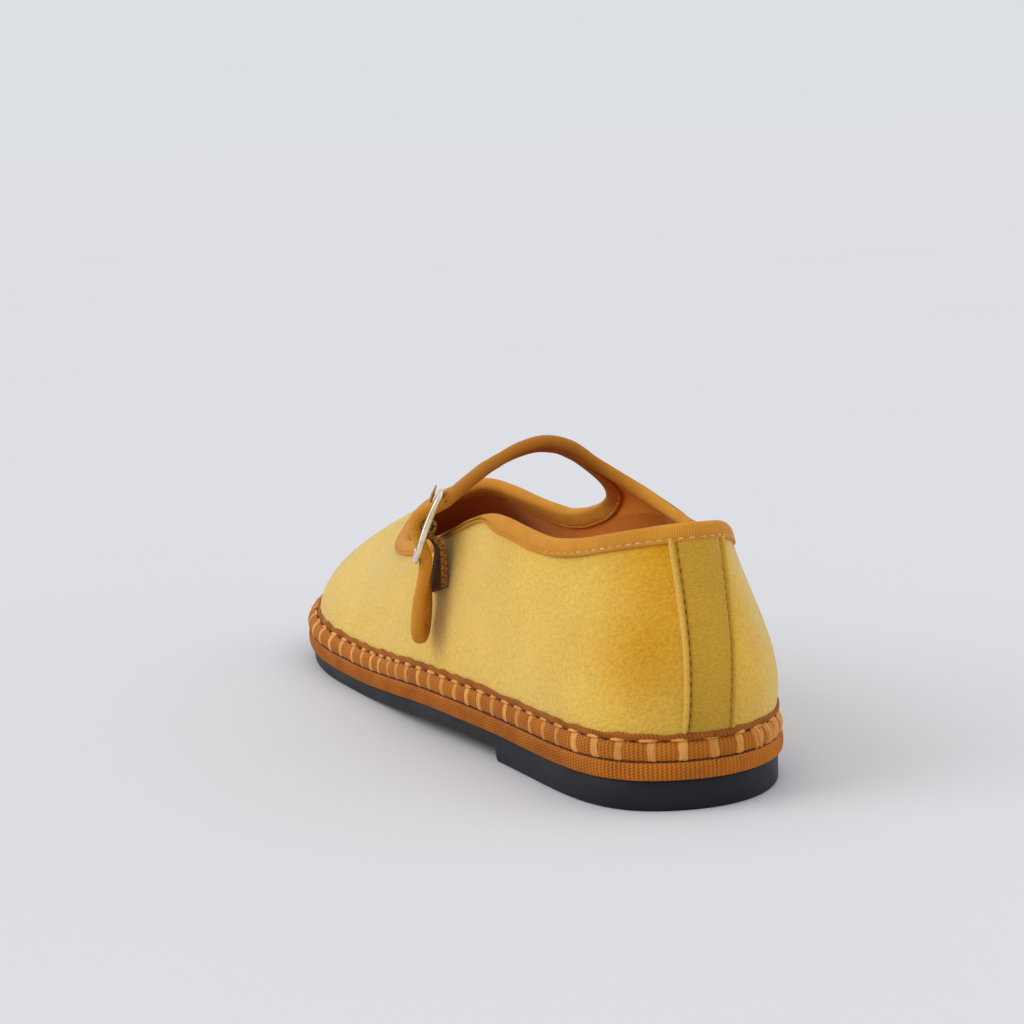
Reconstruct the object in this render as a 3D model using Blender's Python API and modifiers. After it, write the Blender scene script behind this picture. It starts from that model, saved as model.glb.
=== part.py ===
"""Mary jane flat, left shoe: the solids that a maker puts together.

Metres, +Z up. The toe points along -Y and the outer side, with the buckle, along +X.
The origin is on the floor, under the middle of the outsole.
"""
import math
from collections import namedtuple

import bmesh
import bpy
import numpy as np
from mathutils import Vector
from mathutils.bvhtree import BVHTree

# Sole
SOLE_LENGTH = 0.250
HEEL_WIDTH = 0.060
WAIST_WIDTH = 0.062
BALL_WIDTH = 0.080
OUTSOLE_THICKNESS = 0.0040
HEEL_STEP = 0.0031
HEEL_LENGTH = 0.0645
BREAST_SLOPE = 0.0015
TOE_SPRING = 0.0061
OUTSOLE_EDGE_RADIUS = 0.0009
MIDSOLE_THICKNESS = 0.0050
MIDSOLE_OUTSET = 0.0013
MIDSOLE_EDGE_RADIUS = 0.0013
INSOLE_THICKNESS = 0.0020
INSOLE_BEVEL = 0.0009

# Welt
WELT_HEIGHT = 0.0046
WELT_OUTSET = 0.0009
WELT_LIP_HEIGHT = 0.0014
WELT_LIP_THICKNESS = 0.0007
TOE_INSET = 0.0020
LASTED_MARGIN = 0.0040

# Upper
WALL = 0.0018
COLLAR_HEIGHT = 0.0650
OPENING_WIDTH = 0.054
BACKSTAY_WIDTH = 0.0117
BACKSTAY_THICKNESS = 0.0006

# Binding tape round the topline and the strap
TAPE = 0.0006
COLLAR_TAPE_REACH = 0.0033
STRAP_TAPE_REACH = 0.0031

# Strap
STRAP_WIDTH = 0.0110
STRAP_CENTRE = 0.0230
STRAP_PEAK = 0.0742
STRAP_END_HEIGHT = 0.0330
HANG_TURN = math.radians(-13)

# Buckle
BUCKLE_LENGTH = 0.0205
BUCKLE_WIDTH = 0.0180
BUCKLE_CORNER = 0.0035
BUCKLE_HEIGHT = 0.0552
BUCKLE_STAND_OFF = 0.0336
BUCKLE_LEAN = math.radians(24.2)
STRAP_TWIST = math.radians(17)
BAR_DIAMETER = 0.0018
PRONG_DIAMETER = 0.0011
PRONG_TIP = 0.0014
PRONG_WRAP = math.radians(250)
TAB_WIDTH = 0.0105
TAB_THICKNESS = 0.0008
TAB_LENGTH = 0.0150
TAB_TWIST_ROOM = 0.0017
TAB_MOUTH = math.radians(35)

# Clearance between pieces that meet
GAP = 0.0003
# Clearance between the binding tape and the cloth that it wraps
TAPE_GAP = 0.00045

# Samples round the sole's edge
RING = 64
HEEL_COLUMNS = 12
PLATE_COLUMNS = 22

# Edge of the outsole: share of the length from the heel, the width that the row follows,
# and the outer and inner half as shares of half that width
Edge = namedtuple("Edge", "station width outer inner")
SOLE_EDGE = (
    Edge(0.020, HEEL_WIDTH, 0.55, 0.48),
    Edge(0.070, HEEL_WIDTH, 0.82, 0.82),
    Edge(0.150, HEEL_WIDTH, 0.93, 0.99),
    Edge(0.250, HEEL_WIDTH, 1.00, 1.00),
    Edge(0.360, WAIST_WIDTH, 1.08, 0.89),
    Edge(0.470, WAIST_WIDTH, 1.19, 0.82),
    Edge(0.570, BALL_WIDTH, 0.95, 0.69),
    Edge(0.660, BALL_WIDTH, 0.98, 0.81),
    Edge(0.740, BALL_WIDTH, 1.00, 0.94),
    Edge(0.820, BALL_WIDTH, 0.96, 1.00),
    Edge(0.890, BALL_WIDTH, 0.82, 0.95),
    Edge(0.950, BALL_WIDTH, 0.58, 0.78),
    Edge(0.985, BALL_WIDTH, 0.31, 0.53),
)
TOE_TIP_SHIFT = -0.12
ARCH = (0.40, 0.64)
SPRING_START = 0.72

# Ribs of the upper, one row for each section round the sole's edge. turn runs from the heel (0)
# along the outer side to the toe (0.5) and back along the inner side. across, along and height
# place the rib's top as shares of half the opening's width, the sole's length and the collar's
# height. slope is the top's angle above the floor plane, swell the foot's lean outward, low and
# high the reach of those two directions as shares of the rib, inset a share of the toe's inset.
Rib = namedtuple("Rib", "turn across along height slope swell low high inset")
RIBS = (
    Rib(0.000, -0.080, 0.463, 0.990, 78, 14, 0.28, 0.38, 0.13),
    Rib(0.050, 0.455, 0.418, 0.950, 74, 14, 0.24, 0.36, 0.13),
    Rib(0.100, 0.770, 0.326, 0.893, 74, 13, 0.22, 0.36, 0.13),
    Rib(0.150, 0.893, 0.218, 0.926, 76, 13, 0.22, 0.36, 0.13),
    Rib(0.175, 0.915, 0.160, 0.897, 77, 5, 0.22, 0.38, 0.13),
    Rib(0.200, 0.963, 0.100, 0.822, 78, -2, 0.20, 0.40, 0.14),
    Rib(0.250, 1.007, -0.004, 0.715, 68, -4, 0.22, 0.38, 0.20),
    Rib(0.300, 0.885, -0.112, 0.655, 50, -2, 0.26, 0.38, 0.34),
    Rib(0.350, 0.574, -0.196, 0.660, 36, -6, 0.22, 0.40, 0.58),
    Rib(0.400, 0.278, -0.242, 0.711, 29, -6, 0.22, 0.42, 0.84),
    Rib(0.450, 0.050, -0.258, 0.755, 27, -4, 0.18, 0.42, 0.97),
    Rib(0.500, -0.125, -0.264, 0.772, 26, -4, 0.12, 0.42, 1.00),
    Rib(0.550, -0.278, -0.262, 0.788, 28, -5, 0.14, 0.42, 0.97),
    Rib(0.600, -0.459, -0.246, 0.806, 36, -6, 0.20, 0.40, 0.84),
    Rib(0.650, -0.685, -0.206, 0.770, 48, -2, 0.24, 0.38, 0.58),
    Rib(0.700, -0.911, -0.126, 0.722, 64, 6, 0.26, 0.36, 0.34),
    Rib(0.750, -1.007, -0.012, 0.752, 74, 12, 0.26, 0.36, 0.20),
    Rib(0.800, -1.007, 0.104, 0.824, 78, 13, 0.26, 0.36, 0.14),
    Rib(0.850, -0.963, 0.216, 0.838, 78, 13, 0.28, 0.38, 0.13),
    Rib(0.900, -0.867, 0.322, 0.853, 76, 14, 0.34, 0.38, 0.13),
    Rib(0.950, -0.500, 0.416, 0.942, 76, 15, 0.32, 0.40, 0.13),
)
INWARD_PULL = 0.015
LASTED_ROWS = 3
WALL_ROWS = 8

# The strap grows out of the topline between these turns
STRAP_ROOT = (0.745, 0.832)
ROOT_ROWS = 7
HANG_ROWS = 5
ROOT_PULL = 0.023
# Middle line of the free strap, from the root to the buckle: share of half the opening's width
# across, and share of the peak's height
STRAP_LINE = (
    (-0.41, 0.927),
    (-0.20, 0.977),
    (0.05, 1.000),
    (0.25, 0.993),
    (0.45, 0.970),
    (0.71, 0.925),
)


def spline(keys, values, period):
    """Smooth periodic curve through the values, as a function of the key."""
    keys = np.asarray(keys, float)
    values = np.asarray(values, float)
    count = len(keys)
    spans = np.append(keys[1:], keys[0] + period) - keys
    slopes = (np.roll(values, -1, axis=0) - values) / spans[:, None]
    matrix = np.zeros((count, count))
    for i in range(count):
        matrix[i, i - 1] += spans[i - 1]
        matrix[i, i] += 2 * (spans[i - 1] + spans[i])
        matrix[i, (i + 1) % count] += spans[i]
    bends = np.linalg.solve(matrix, 6 * (slopes - np.roll(slopes, 1, axis=0)))

    def curve(key):
        key = (key - keys[0]) % period + keys[0]
        i = int(np.searchsorted(keys, key, side="right")) - 1
        j = (i + 1) % count
        span = spans[i]
        after = key - keys[i]
        before = span - after
        return (
            (bends[i] * before ** 3 + bends[j] * after ** 3) / (6 * span)
            + (values[i] / span - bends[i] * span / 6) * before
            + (values[j] / span - bends[j] * span / 6) * after
        )

    return curve


def sole_edge_points():
    """Corner points of the sole's edge: heel, outer side, toe tip, inner side."""
    half_length = SOLE_LENGTH / 2
    outer = [(e.outer * e.width / 2, half_length - e.station * SOLE_LENGTH) for e in SOLE_EDGE]
    inner = [(-e.inner * e.width / 2, half_length - e.station * SOLE_LENGTH) for e in SOLE_EDGE]
    tip = (TOE_TIP_SHIFT * BALL_WIDTH / 2, -half_length)
    return [(0.0, half_length)] + outer + [tip] + inner[::-1]


class SoleEdge:
    """The sole's edge as a closed curve, read by turn: heel 0, toe tip 0.5."""

    FINE = 1440

    def __init__(self):
        points = np.array(sole_edge_points())
        chords = np.sqrt(np.linalg.norm(np.roll(points, -1, axis=0) - points, axis=1))
        keys = np.concatenate([[0.0], np.cumsum(chords)[:-1]])
        period = float(chords.sum())
        curve = spline(keys, points, period)
        tip_key = keys[len(SOLE_EDGE) + 1]
        half = self.FINE // 2
        samples = np.concatenate([
            np.linspace(0.0, tip_key, half, endpoint=False),
            np.linspace(tip_key, period, half + 1),
        ])
        self.line = np.array([curve(key) for key in samples[:-1]] + [points[0]])
        steps = np.linalg.norm(np.diff(self.line, axis=0), axis=1)
        arcs = np.concatenate([[0.0], np.cumsum(steps)])
        first = arcs[half]
        self.turns = np.where(arcs <= first, arcs / first / 2, (arcs - first) / (arcs[-1] - first) / 2 + 0.5)

    def point(self, turn):
        turn = turn % 1.0
        x = np.interp(turn, self.turns, self.line[:, 0])
        y = np.interp(turn, self.turns, self.line[:, 1])
        return Vector((x, y, 0.0))

    def outward(self, turn):
        step = 0.004
        along = self.point(turn + step) - self.point(turn - step)
        return Vector((-along.y, along.x, 0.0)).normalized()

    def turn_at(self, along, side):
        """Turn where the edge's outer (1) or inner (-1) side passes this place along the sole."""
        half = self.FINE // 2
        part = slice(0, half + 1) if side > 0 else slice(half, self.FINE + 1)
        lengths = self.line[part, 1]
        turns = self.turns[part]
        if side > 0:
            lengths = lengths[::-1]
            turns = turns[::-1]
        return float(np.interp(along, lengths, turns))


EDGE = SoleEdge()
TURNS = [i / RING for i in range(RING)]


def smooth(value, low, high):
    share = min(max((value - low) / (high - low), 0.0), 1.0)
    return share * share * (3 - 2 * share)


def underside(y):
    """Height of the outsole plate's underside above the floor."""
    station = 0.5 - y / SOLE_LENGTH
    spring = min(max((station - SPRING_START) / (1 - SPRING_START), 0.0), 1.0) ** 2
    return HEEL_STEP * (1 - smooth(station, *ARCH)) + TOE_SPRING * spring


def edge_point(turn, outset, height):
    """Point beside the sole's edge, at a height above the outsole plate's underside."""
    base = EDGE.point(turn)
    point = base + EDGE.outward(turn) * outset
    point.z = underside(base.y) + height
    return point


MIDSOLE_TOP = OUTSOLE_THICKNESS + MIDSOLE_THICKNESS
RIB_CURVE = spline([rib.turn for rib in RIBS], [rib[1:] for rib in RIBS], 1.0)


def rib_at(turn):
    return Rib(turn, *RIB_CURVE(turn))


def lasted_point(turn, share):
    """Wall middle on the edge that curls in under the foot: 0 at its rim, 1 at the welt's top."""
    rib = rib_at(turn)
    angle = share * math.pi / 2
    low = WALL / 2 + GAP
    outset = -rib.inset * TOE_INSET - WALL / 2 - LASTED_MARGIN * (1 - math.sin(angle))
    height = MIDSOLE_TOP + low + (WELT_HEIGHT - low) * (1 - math.cos(angle))
    return edge_point(turn, outset, height)


def rib_top(turn):
    rib = rib_at(turn)
    return Vector((rib.across * OPENING_WIDTH / 2, rib.along * SOLE_LENGTH, rib.height * COLLAR_HEIGHT))


def rib_end_direction(turn):
    """Direction in which a rib reaches the topline."""
    rib = rib_at(turn)
    inward = rib_top(turn) - lasted_point(turn, 1.0)
    inward.z = 0.0
    inward = (inward - EDGE.outward(turn) * INWARD_PULL).normalized()
    slope = math.radians(rib.slope)
    return inward * math.cos(slope) + Vector((0, 0, math.sin(slope)))


def wall_point(turn, rise):
    """Middle of the upper's wall: rise 0 to 1 on the lasted edge, 1 to 2 up to the topline."""
    if rise <= 1.0:
        return lasted_point(turn, rise)
    rib = rib_at(turn)
    foot = lasted_point(turn, 1.0)
    top = rib_top(turn)
    reach = (top - foot).length
    swell = math.radians(rib.swell)
    start = EDGE.outward(turn) * math.sin(swell) + Vector((0, 0, math.cos(swell)))
    first = foot + start * reach * rib.low
    second = top - rib_end_direction(turn) * reach * rib.high
    t = rise - 1.0
    s = 1.0 - t
    return foot * s ** 3 + first * 3 * s * s * t + second * 3 * s * t * t + top * t ** 3


def wall_normal(turn, rise):
    step = 0.004
    around = wall_point(turn + step, rise) - wall_point(turn - step, rise)
    if rise > 2.0 - step:
        up = wall_point(turn, rise) - wall_point(turn, rise - step)
    else:
        up = wall_point(turn, rise + step) - wall_point(turn, rise)
    return up.cross(around).normalized()


def skin(turn, rise, out):
    """Point at a distance outside the wall's middle."""
    return wall_point(turn, rise) + wall_normal(turn, rise) * out


def rise_at_height(turn, height):
    """Rise at which the wall's middle reaches a height above the floor."""
    low = 1.0
    high = 2.0
    for _ in range(30):
        middle = (low + high) / 2
        if wall_point(turn, middle).z < height:
            low = middle
        else:
            high = middle
    return low


def material(name, colour, roughness, metallic=0.0):
    made = bpy.data.materials.new(name)
    made.use_nodes = True
    shader = made.node_tree.nodes["Principled BSDF"]
    shader.inputs["Base Color"].default_value = (*colour, 1.0)
    shader.inputs["Roughness"].default_value = roughness
    shader.inputs["Metallic"].default_value = metallic
    made.diffuse_color = (*colour, 1.0)
    return made


def add_object(name, verts, faces, surface, collection):
    mesh = bpy.data.meshes.new(name)
    mesh.from_pydata([tuple(v) for v in verts], [], faces)
    mesh.materials.append(surface)
    mesh.shade_smooth()
    mesh.set_sharp_from_angle(angle=math.radians(40))
    made = bpy.data.objects.new(name, mesh)
    collection.objects.link(made)
    return made


def solidify(piece, thickness, offset=0.0):
    shell = piece.modifiers.new("Wall", "SOLIDIFY")
    shell.thickness = thickness
    shell.offset = offset
    shell.use_even_offset = True
    return shell


def grid_faces(rows, columns, closed_rows=False, closed_columns=False, flip=False):
    """Quads between the points of a grid that is stored row by row."""
    faces = []
    for i in range(rows if closed_rows else rows - 1):
        for j in range(columns if closed_columns else columns - 1):
            right = (j + 1) % columns
            below = (i + 1) % rows
            quad = (i * columns + j, i * columns + right, below * columns + right, below * columns + j)
            faces.append(quad[::-1] if flip else quad)
    return faces


def ladder(ring, start, flip):
    """Rungs across a ring of points that starts at the heel and passes the toe halfway."""
    faces = []
    half = ring // 2
    for i in range(half):
        left = (start + i, start + i + 1)
        right = (start + (ring - i - 1) % ring, start + (ring - i) % ring)
        corners = list(dict.fromkeys((left[0], left[1], right[0], right[1])))
        faces.append(corners[::-1] if flip else corners)
    return faces


def plate(name, rings, surface, collection):
    """Closed plate through rings of points that run from its underside to its top."""
    count = len(rings[0])
    verts = [point for ring in rings for point in ring]
    faces = grid_faces(len(rings), count, closed_columns=True)
    faces += ladder(count, 0, flip=False)
    faces += ladder(count, (len(rings) - 1) * count, flip=True)
    made = add_object(name, verts, faces, surface, collection)
    face_out(made)
    return made


def face_out(piece):
    """Split a closed mesh into well-shaped triangles that all face outward."""
    shape = bmesh.new()
    shape.from_mesh(piece.data)
    bmesh.ops.triangulate(shape, faces=shape.faces)
    bmesh.ops.recalc_face_normals(shape, faces=shape.faces)
    if shape.calc_volume(signed=True) < 0:
        bmesh.ops.reverse_faces(shape, faces=shape.faces)
    shape.to_mesh(piece.data)
    shape.free()


def make_outsole(surface, collection):
    breast = SOLE_LENGTH / 2 - HEEL_LENGTH
    sides = []
    for side in (1, -1):
        low = EDGE.turn_at(breast, side)
        high = EDGE.turn_at(breast - BREAST_SLOPE, side)
        heel = 0.0 if side > 0 else 1.0
        first = 0 if side > 0 else 1
        on_heel = [(heel + (low - heel) * i / HEEL_COLUMNS, True) for i in range(first, HEEL_COLUMNS + 1)]
        on_plate = [(high + (0.5 - high) * i / PLATE_COLUMNS, False) for i in range(PLATE_COLUMNS)]
        sides.append(on_heel + on_plate)
    columns = sides[0] + [(0.5, False)] + sides[1][::-1]
    rings = []
    for outset, lift in ((-OUTSOLE_EDGE_RADIUS, 0.0), (0.0, OUTSOLE_EDGE_RADIUS)):
        ring = [edge_point(turn, outset, lift) for turn, _ in columns]
        for point, (_, heel) in zip(ring, columns):
            if heel:
                point.z = lift
        rings.append(ring)
    rings.append([edge_point(turn, 0.0, OUTSOLE_THICKNESS) for turn, _ in columns])
    return plate("outsole", rings, surface, collection)


def make_midsole(surface, collection):
    low = OUTSOLE_THICKNESS + GAP
    high = MIDSOLE_TOP
    profile = (
        (0.0, low),
        (MIDSOLE_OUTSET * 0.75, low + MIDSOLE_EDGE_RADIUS * 0.3),
        (MIDSOLE_OUTSET, low + MIDSOLE_EDGE_RADIUS),
        (MIDSOLE_OUTSET, high - MIDSOLE_EDGE_RADIUS),
        (MIDSOLE_OUTSET * 0.75, high - MIDSOLE_EDGE_RADIUS * 0.3),
        (0.0, high),
    )
    rings = [[edge_point(turn, outset, height) for turn in TURNS] for outset, height in profile]
    return plate("midsole", rings, surface, collection)


def make_insole(surface, collection):
    low = MIDSOLE_TOP + WALL + 2 * GAP
    rings = []
    wide = LASTED_MARGIN - INSOLE_BEVEL
    for margin, height in ((LASTED_MARGIN + GAP, low), (wide, low + INSOLE_THICKNESS)):
        ring = []
        for turn in TURNS:
            outset = -rib_at(turn).inset * TOE_INSET - margin
            ring.append(edge_point(turn, outset, height))
        rings.append(ring)
    return plate("insole", rings, surface, collection)


def make_welt(surface, collection):
    """Roll over the midsole's rim, with a lip that stands against the wall."""
    verts = []
    against = WALL / 2 + GAP
    low = MIDSOLE_TOP + GAP
    for turn in TURNS:
        lean = rib_at(turn).inset * TOE_INSET
        lip_rise = rise_at_height(turn, edge_point(turn, 0, MIDSOLE_TOP + WELT_HEIGHT + WELT_LIP_HEIGHT).z)
        outer = []
        for share, swell in ((0.0, 0.6), (0.3, 1.0), (0.65, 0.9), (0.92, 0.3)):
            outset = WELT_OUTSET * swell * (1 + rib_at(turn).inset / 2) - lean * share ** 4
            outer.append(edge_point(turn, outset, low + (WELT_HEIGHT - GAP) * share))
        inner = [
            skin(turn, 1.0, against + WELT_LIP_THICKNESS),
            skin(turn, lip_rise, against + WELT_LIP_THICKNESS),
            skin(turn, lip_rise, against),
            skin(turn, 1.0, against),
            skin(turn, 0.67, against),
            skin(turn, 0.36, against),
        ]
        foot = inner[-1].copy()
        foot.z = edge_point(turn, 0.0, low).z
        verts += outer + inner + [foot]
    columns = len(verts) // RING
    faces = grid_faces(RING, columns, closed_rows=True, closed_columns=True)
    made = add_object("welt", verts, faces, surface, collection)
    face_out(made)
    return made


def rise_rows():
    lasted = [i / LASTED_ROWS for i in range(LASTED_ROWS)]
    return lasted + [1.0 + i / WALL_ROWS for i in range(WALL_ROWS + 1)]


def make_upper(surface, collection):
    rises = rise_rows()
    verts = [wall_point(turn, rise) for rise in rises for turn in TURNS]
    faces = grid_faces(len(rises), RING, closed_columns=True)
    made = add_object("upper", verts, faces, surface, collection)
    solidify(made, WALL)
    return made


def make_backstay(surface, collection):
    """Strip over the back of the wall, from the welt's lip up to the binding."""
    middle = WALL / 2 + GAP + BACKSTAY_THICKNESS / 2
    columns = 5
    rows = 9
    lip = MIDSOLE_TOP + WELT_HEIGHT + WELT_LIP_HEIGHT + 2 * GAP
    verts = []
    for i in range(rows):
        rise = 1.0 + i / (rows - 1)
        half_turn = BACKSTAY_WIDTH / 2 * 0.02 / (skin(0.01, rise, middle) - skin(-0.01, rise, middle)).length
        for j in range(columns):
            turn = half_turn * (2 * j / (columns - 1) - 1)
            low = rise_at_height(turn, edge_point(turn, 0, lip).z)
            high = rise_at_height(turn, rib_top(turn).z - COLLAR_TAPE_REACH - 2 * GAP)
            verts.append(skin(turn, low + (high - low) * i / (rows - 1), middle))
    made = add_object("backstay", verts, grid_faces(rows, columns), surface, collection)
    solidify(made, BACKSTAY_THICKNESS)
    return made


BUCKLE_CENTRE = Vector((BUCKLE_STAND_OFF, STRAP_CENTRE, BUCKLE_HEIGHT))
BUCKLE_DOWN = Vector((math.sin(BUCKLE_LEAN), 0, -math.cos(BUCKLE_LEAN)))
BUCKLE_FLAT_OUT = Vector((math.cos(BUCKLE_LEAN), 0, math.sin(BUCKLE_LEAN)))
BUCKLE_OUT = BUCKLE_FLAT_OUT * math.cos(STRAP_TWIST) - Vector((0, math.sin(STRAP_TWIST), 0))
BUCKLE_ALONG = BUCKLE_FLAT_OUT * math.sin(STRAP_TWIST) + Vector((0, math.cos(STRAP_TWIST), 0))


def buckle_point(down, out, along=0.0):
    """Point of the buckle's own frame: down its length, out from the shoe, along the shoe."""
    return BUCKLE_CENTRE + BUCKLE_DOWN * down + BUCKLE_OUT * out + BUCKLE_ALONG * along


BAR_SPACING = (BUCKLE_LENGTH - BAR_DIAMETER) / 2
PRONG_LIFT = BAR_DIAMETER / 2 + GAP + PRONG_DIAMETER / 2
STACK = WALL / 2 + TAPE_GAP + TAPE
UNDER_BAR = BAR_DIAMETER / 2 + GAP + STACK
OVER_BAR = BAR_DIAMETER / 2 + GAP + max(PRONG_DIAMETER, TAB_THICKNESS) + GAP + STACK


def arc(down, radius, start, end, count):
    """Points of an arc about a bar, in the buckle's own frame, angles from its down to its out."""
    angles = [start + (end - start) * i / count for i in range(count + 1)]
    return [(down + radius * math.cos(angle), radius * math.sin(angle)) for angle in angles]


def strap_path():
    """Middle line of the strap beyond its root: over the instep and through the buckle."""
    half = OPENING_WIDTH / 2
    free = []
    for across, height in STRAP_LINE:
        free.append(Vector((across * half, STRAP_CENTRE, height * STRAP_PEAK)))
    off_plane = (free[-1] - BUCKLE_CENTRE).dot(BUCKLE_ALONG)
    for point in free:
        share = smooth(point.x, free[0].x, free[-1].x)
        point.y -= share * off_plane / BUCKLE_ALONG.y
    last = free[-1] - BUCKLE_CENTRE
    last_down = last.dot(BUCKLE_DOWN) + BAR_SPACING
    last_out = last.dot(BUCKLE_OUT)
    entry = math.atan2(-last_out, -last_down) - math.asin(UNDER_BAR / math.hypot(last_down, last_out))
    wave = math.asin((UNDER_BAR + OVER_BAR) / BAR_SPACING)
    right = math.pi / 2
    path = arc(-BAR_SPACING, UNDER_BAR, entry - right, wave - right, 3)
    path += arc(0.0, OVER_BAR, wave + right, right - wave, 8)
    path += arc(BAR_SPACING, UNDER_BAR, -wave - right, -right + HANG_TURN, 3)
    drop = (buckle_point(*path[-1]).z - STRAP_END_HEIGHT) / -BUCKLE_DOWN.z
    down, out = path[-1]
    line = refine(free) + [buckle_point(*point) for point in path]
    for i in range(HANG_ROWS):
        fall = drop * (i + 1) / HANG_ROWS
        line.append(buckle_point(down + fall, out + fall * math.tan(HANG_TURN)))
    return line, len(line) - len(path) - HANG_ROWS


def refine(points):
    """Smooth open curve through a few points, with two steps for each span."""
    out = []
    for i in range(len(points) - 1):
        before = points[i - 1] if i else points[0] * 2 - points[1]
        after = points[i + 2] if i + 2 < len(points) else points[-1] * 2 - points[-2]
        a = points[i]
        b = points[i + 1]
        for t in (0.0, 0.5):
            out.append(0.5 * (2 * a + (b - before) * t + (2 * before - 5 * a + 4 * b - after) * t * t
                              + (3 * a - before - 3 * b + after) * t ** 3))
    out.append(points[-1])
    return out


def strap_side(ahead, twist, buckled):
    """Direction across the strap, front edge to rear edge: twisted, then held by the buckle."""
    level = Vector((0, 1, 0))
    level = (level - ahead * level.dot(ahead)).normalized()
    free = level * math.cos(twist) + ahead.cross(level) * math.sin(twist)
    side = free.lerp(BUCKLE_ALONG, buckled)
    return (side - ahead * side.dot(ahead)).normalized()


def strap_rows():
    """Rows of points across the strap, front edge first, from the topline to the rounded tip."""
    root_turns = [turn for turn in TURNS if STRAP_ROOT[0] <= turn <= STRAP_ROOT[1]]
    columns = len(root_turns)
    half = STRAP_WIDTH / 2 - TAPE_GAP - TAPE
    line, buckle_row = strap_path()
    rows = []
    for i, point in enumerate(line):
        ahead = (line[min(i + 1, len(line) - 1)] - line[max(i - 1, 0)]).normalized()
        twist = STRAP_TWIST * smooth(i, -2, buckle_row / 2)
        side = strap_side(ahead, twist, smooth(i, buckle_row - 4, buckle_row - 1))
        rows.append([point + side * half * (2 * j / (columns - 1) - 1) for j in range(columns)])
    for degrees in (25, 50, 72):
        along = half * math.sin(math.radians(degrees))
        width = half * math.cos(math.radians(degrees))
        rows.append([line[-1] + ahead * along + side * width * (2 * j / (columns - 1) - 1)
                     for j in range(columns)])
    return strap_root(root_turns, rows[0], (line[1] - line[0]).normalized()) + rows


def strap_root(turns, end_row, end_direction):
    """Rows that fan out from the narrow strap to the topline."""
    rows = []
    columns = len(turns)
    for i in range(ROOT_ROWS):
        t = i / ROOT_ROWS
        row = []
        for j, turn in enumerate(turns):
            top = rib_top(turn)
            up = rib_end_direction(turn)
            spread = 2 * j / (columns - 1) - 1
            along = (rib_top(turn + 0.01) - rib_top(turn - 0.01)).normalized()
            edge = abs(spread) ** 3
            start = (up * (1 - 0.75 * edge) - along * math.copysign(edge, spread)).normalized()
            begin = top + up * 1.3 * GAP
            row.append(hermite(begin, start * ROOT_PULL, end_row[j], end_direction * ROOT_PULL, t))
        rows.append(row)
    return rows


def hermite(start, start_pull, end, end_pull, t):
    return (
        start * (2 * t ** 3 - 3 * t ** 2 + 1)
        + start_pull * (t ** 3 - 2 * t ** 2 + t)
        + end * (3 * t ** 2 - 2 * t ** 3)
        + end_pull * (t ** 3 - t ** 2)
    )


def make_strap(rows, surface, collection, cutters):
    verts = [point for row in rows for point in row]
    faces = grid_faces(len(rows), len(rows[0]), flip=True)
    made = add_object("strap", verts, faces, surface, collection)
    solidify(made, WALL)
    split = made.modifiers.new("Triangles", "TRIANGULATE")
    split.quad_method = "BEAUTY"
    ends = [buckle_point(-down, PRONG_LIFT) for down in (BAR_DIAMETER / 3, BAR_SPACING - BAR_DIAMETER / 6)]
    hole = tube("strap_hole_cutter", ends, PRONG_DIAMETER / 2 + GAP, surface, cutters)
    hole = as_mesh(hole, cutters)
    hole.hide_render = True
    hole.display_type = "WIRE"
    cut = made.modifiers.new("Hole", "BOOLEAN")
    cut.operation = "DIFFERENCE"
    cut.object = hole
    return made


def rim_loop(rows):
    """The edge that the tape wraps: round the topline, out along the strap and back.

    Each entry is a point of the edge, the direction into the cloth and the tape's reach.
    """
    first = next(i for i, turn in enumerate(TURNS) if turn >= STRAP_ROOT[0])
    last = max(i for i, turn in enumerate(TURNS) if turn <= STRAP_ROOT[1])
    loop = []
    for i in range(last, first + RING + 1):
        turn = TURNS[i % RING]
        loop.append((wall_point(turn, 2.0), -rib_end_direction(turn), COLLAR_TAPE_REACH))
    strap = []
    for i in range(1, len(rows)):
        reach = COLLAR_TAPE_REACH
        reach += (STRAP_TAPE_REACH - COLLAR_TAPE_REACH) * min(1.0, i / ROOT_ROWS)
        strap.append((rows[i][0], (rows[i][1] - rows[i][0]).normalized(), reach))
    back = []
    for i in range(len(rows) - 1, 0, -1):
        reach = COLLAR_TAPE_REACH
        reach += (STRAP_TAPE_REACH - COLLAR_TAPE_REACH) * min(1.0, i / ROOT_ROWS)
        back.append((rows[i][-1], (rows[i][-2] - rows[i][-1]).normalized(), reach))
    tip_back = (rows[-4][0] - rows[-1][0]).normalized()
    tip = [((rows[-1][0] + rows[-1][-1]) / 2, tip_back, STRAP_TAPE_REACH)]
    return loop + strap + tip + back


def cloth_tree(rows):
    """Surface of the wall's middle near the edge that the tape wraps, for nearest points."""
    rises = [1.5 + i / 16 for i in range(9)]
    verts = [wall_point(turn, rise) for rise in rises for turn in TURNS]
    faces = grid_faces(len(rises), RING, closed_columns=True)
    start = len(verts)
    verts += [point for row in rows for point in row]
    for face in grid_faces(len(rows), len(rows[0])):
        faces.append(tuple(start + corner for corner in face))
    return BVHTree.FromPolygons([tuple(v) for v in verts], faces)


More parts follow.
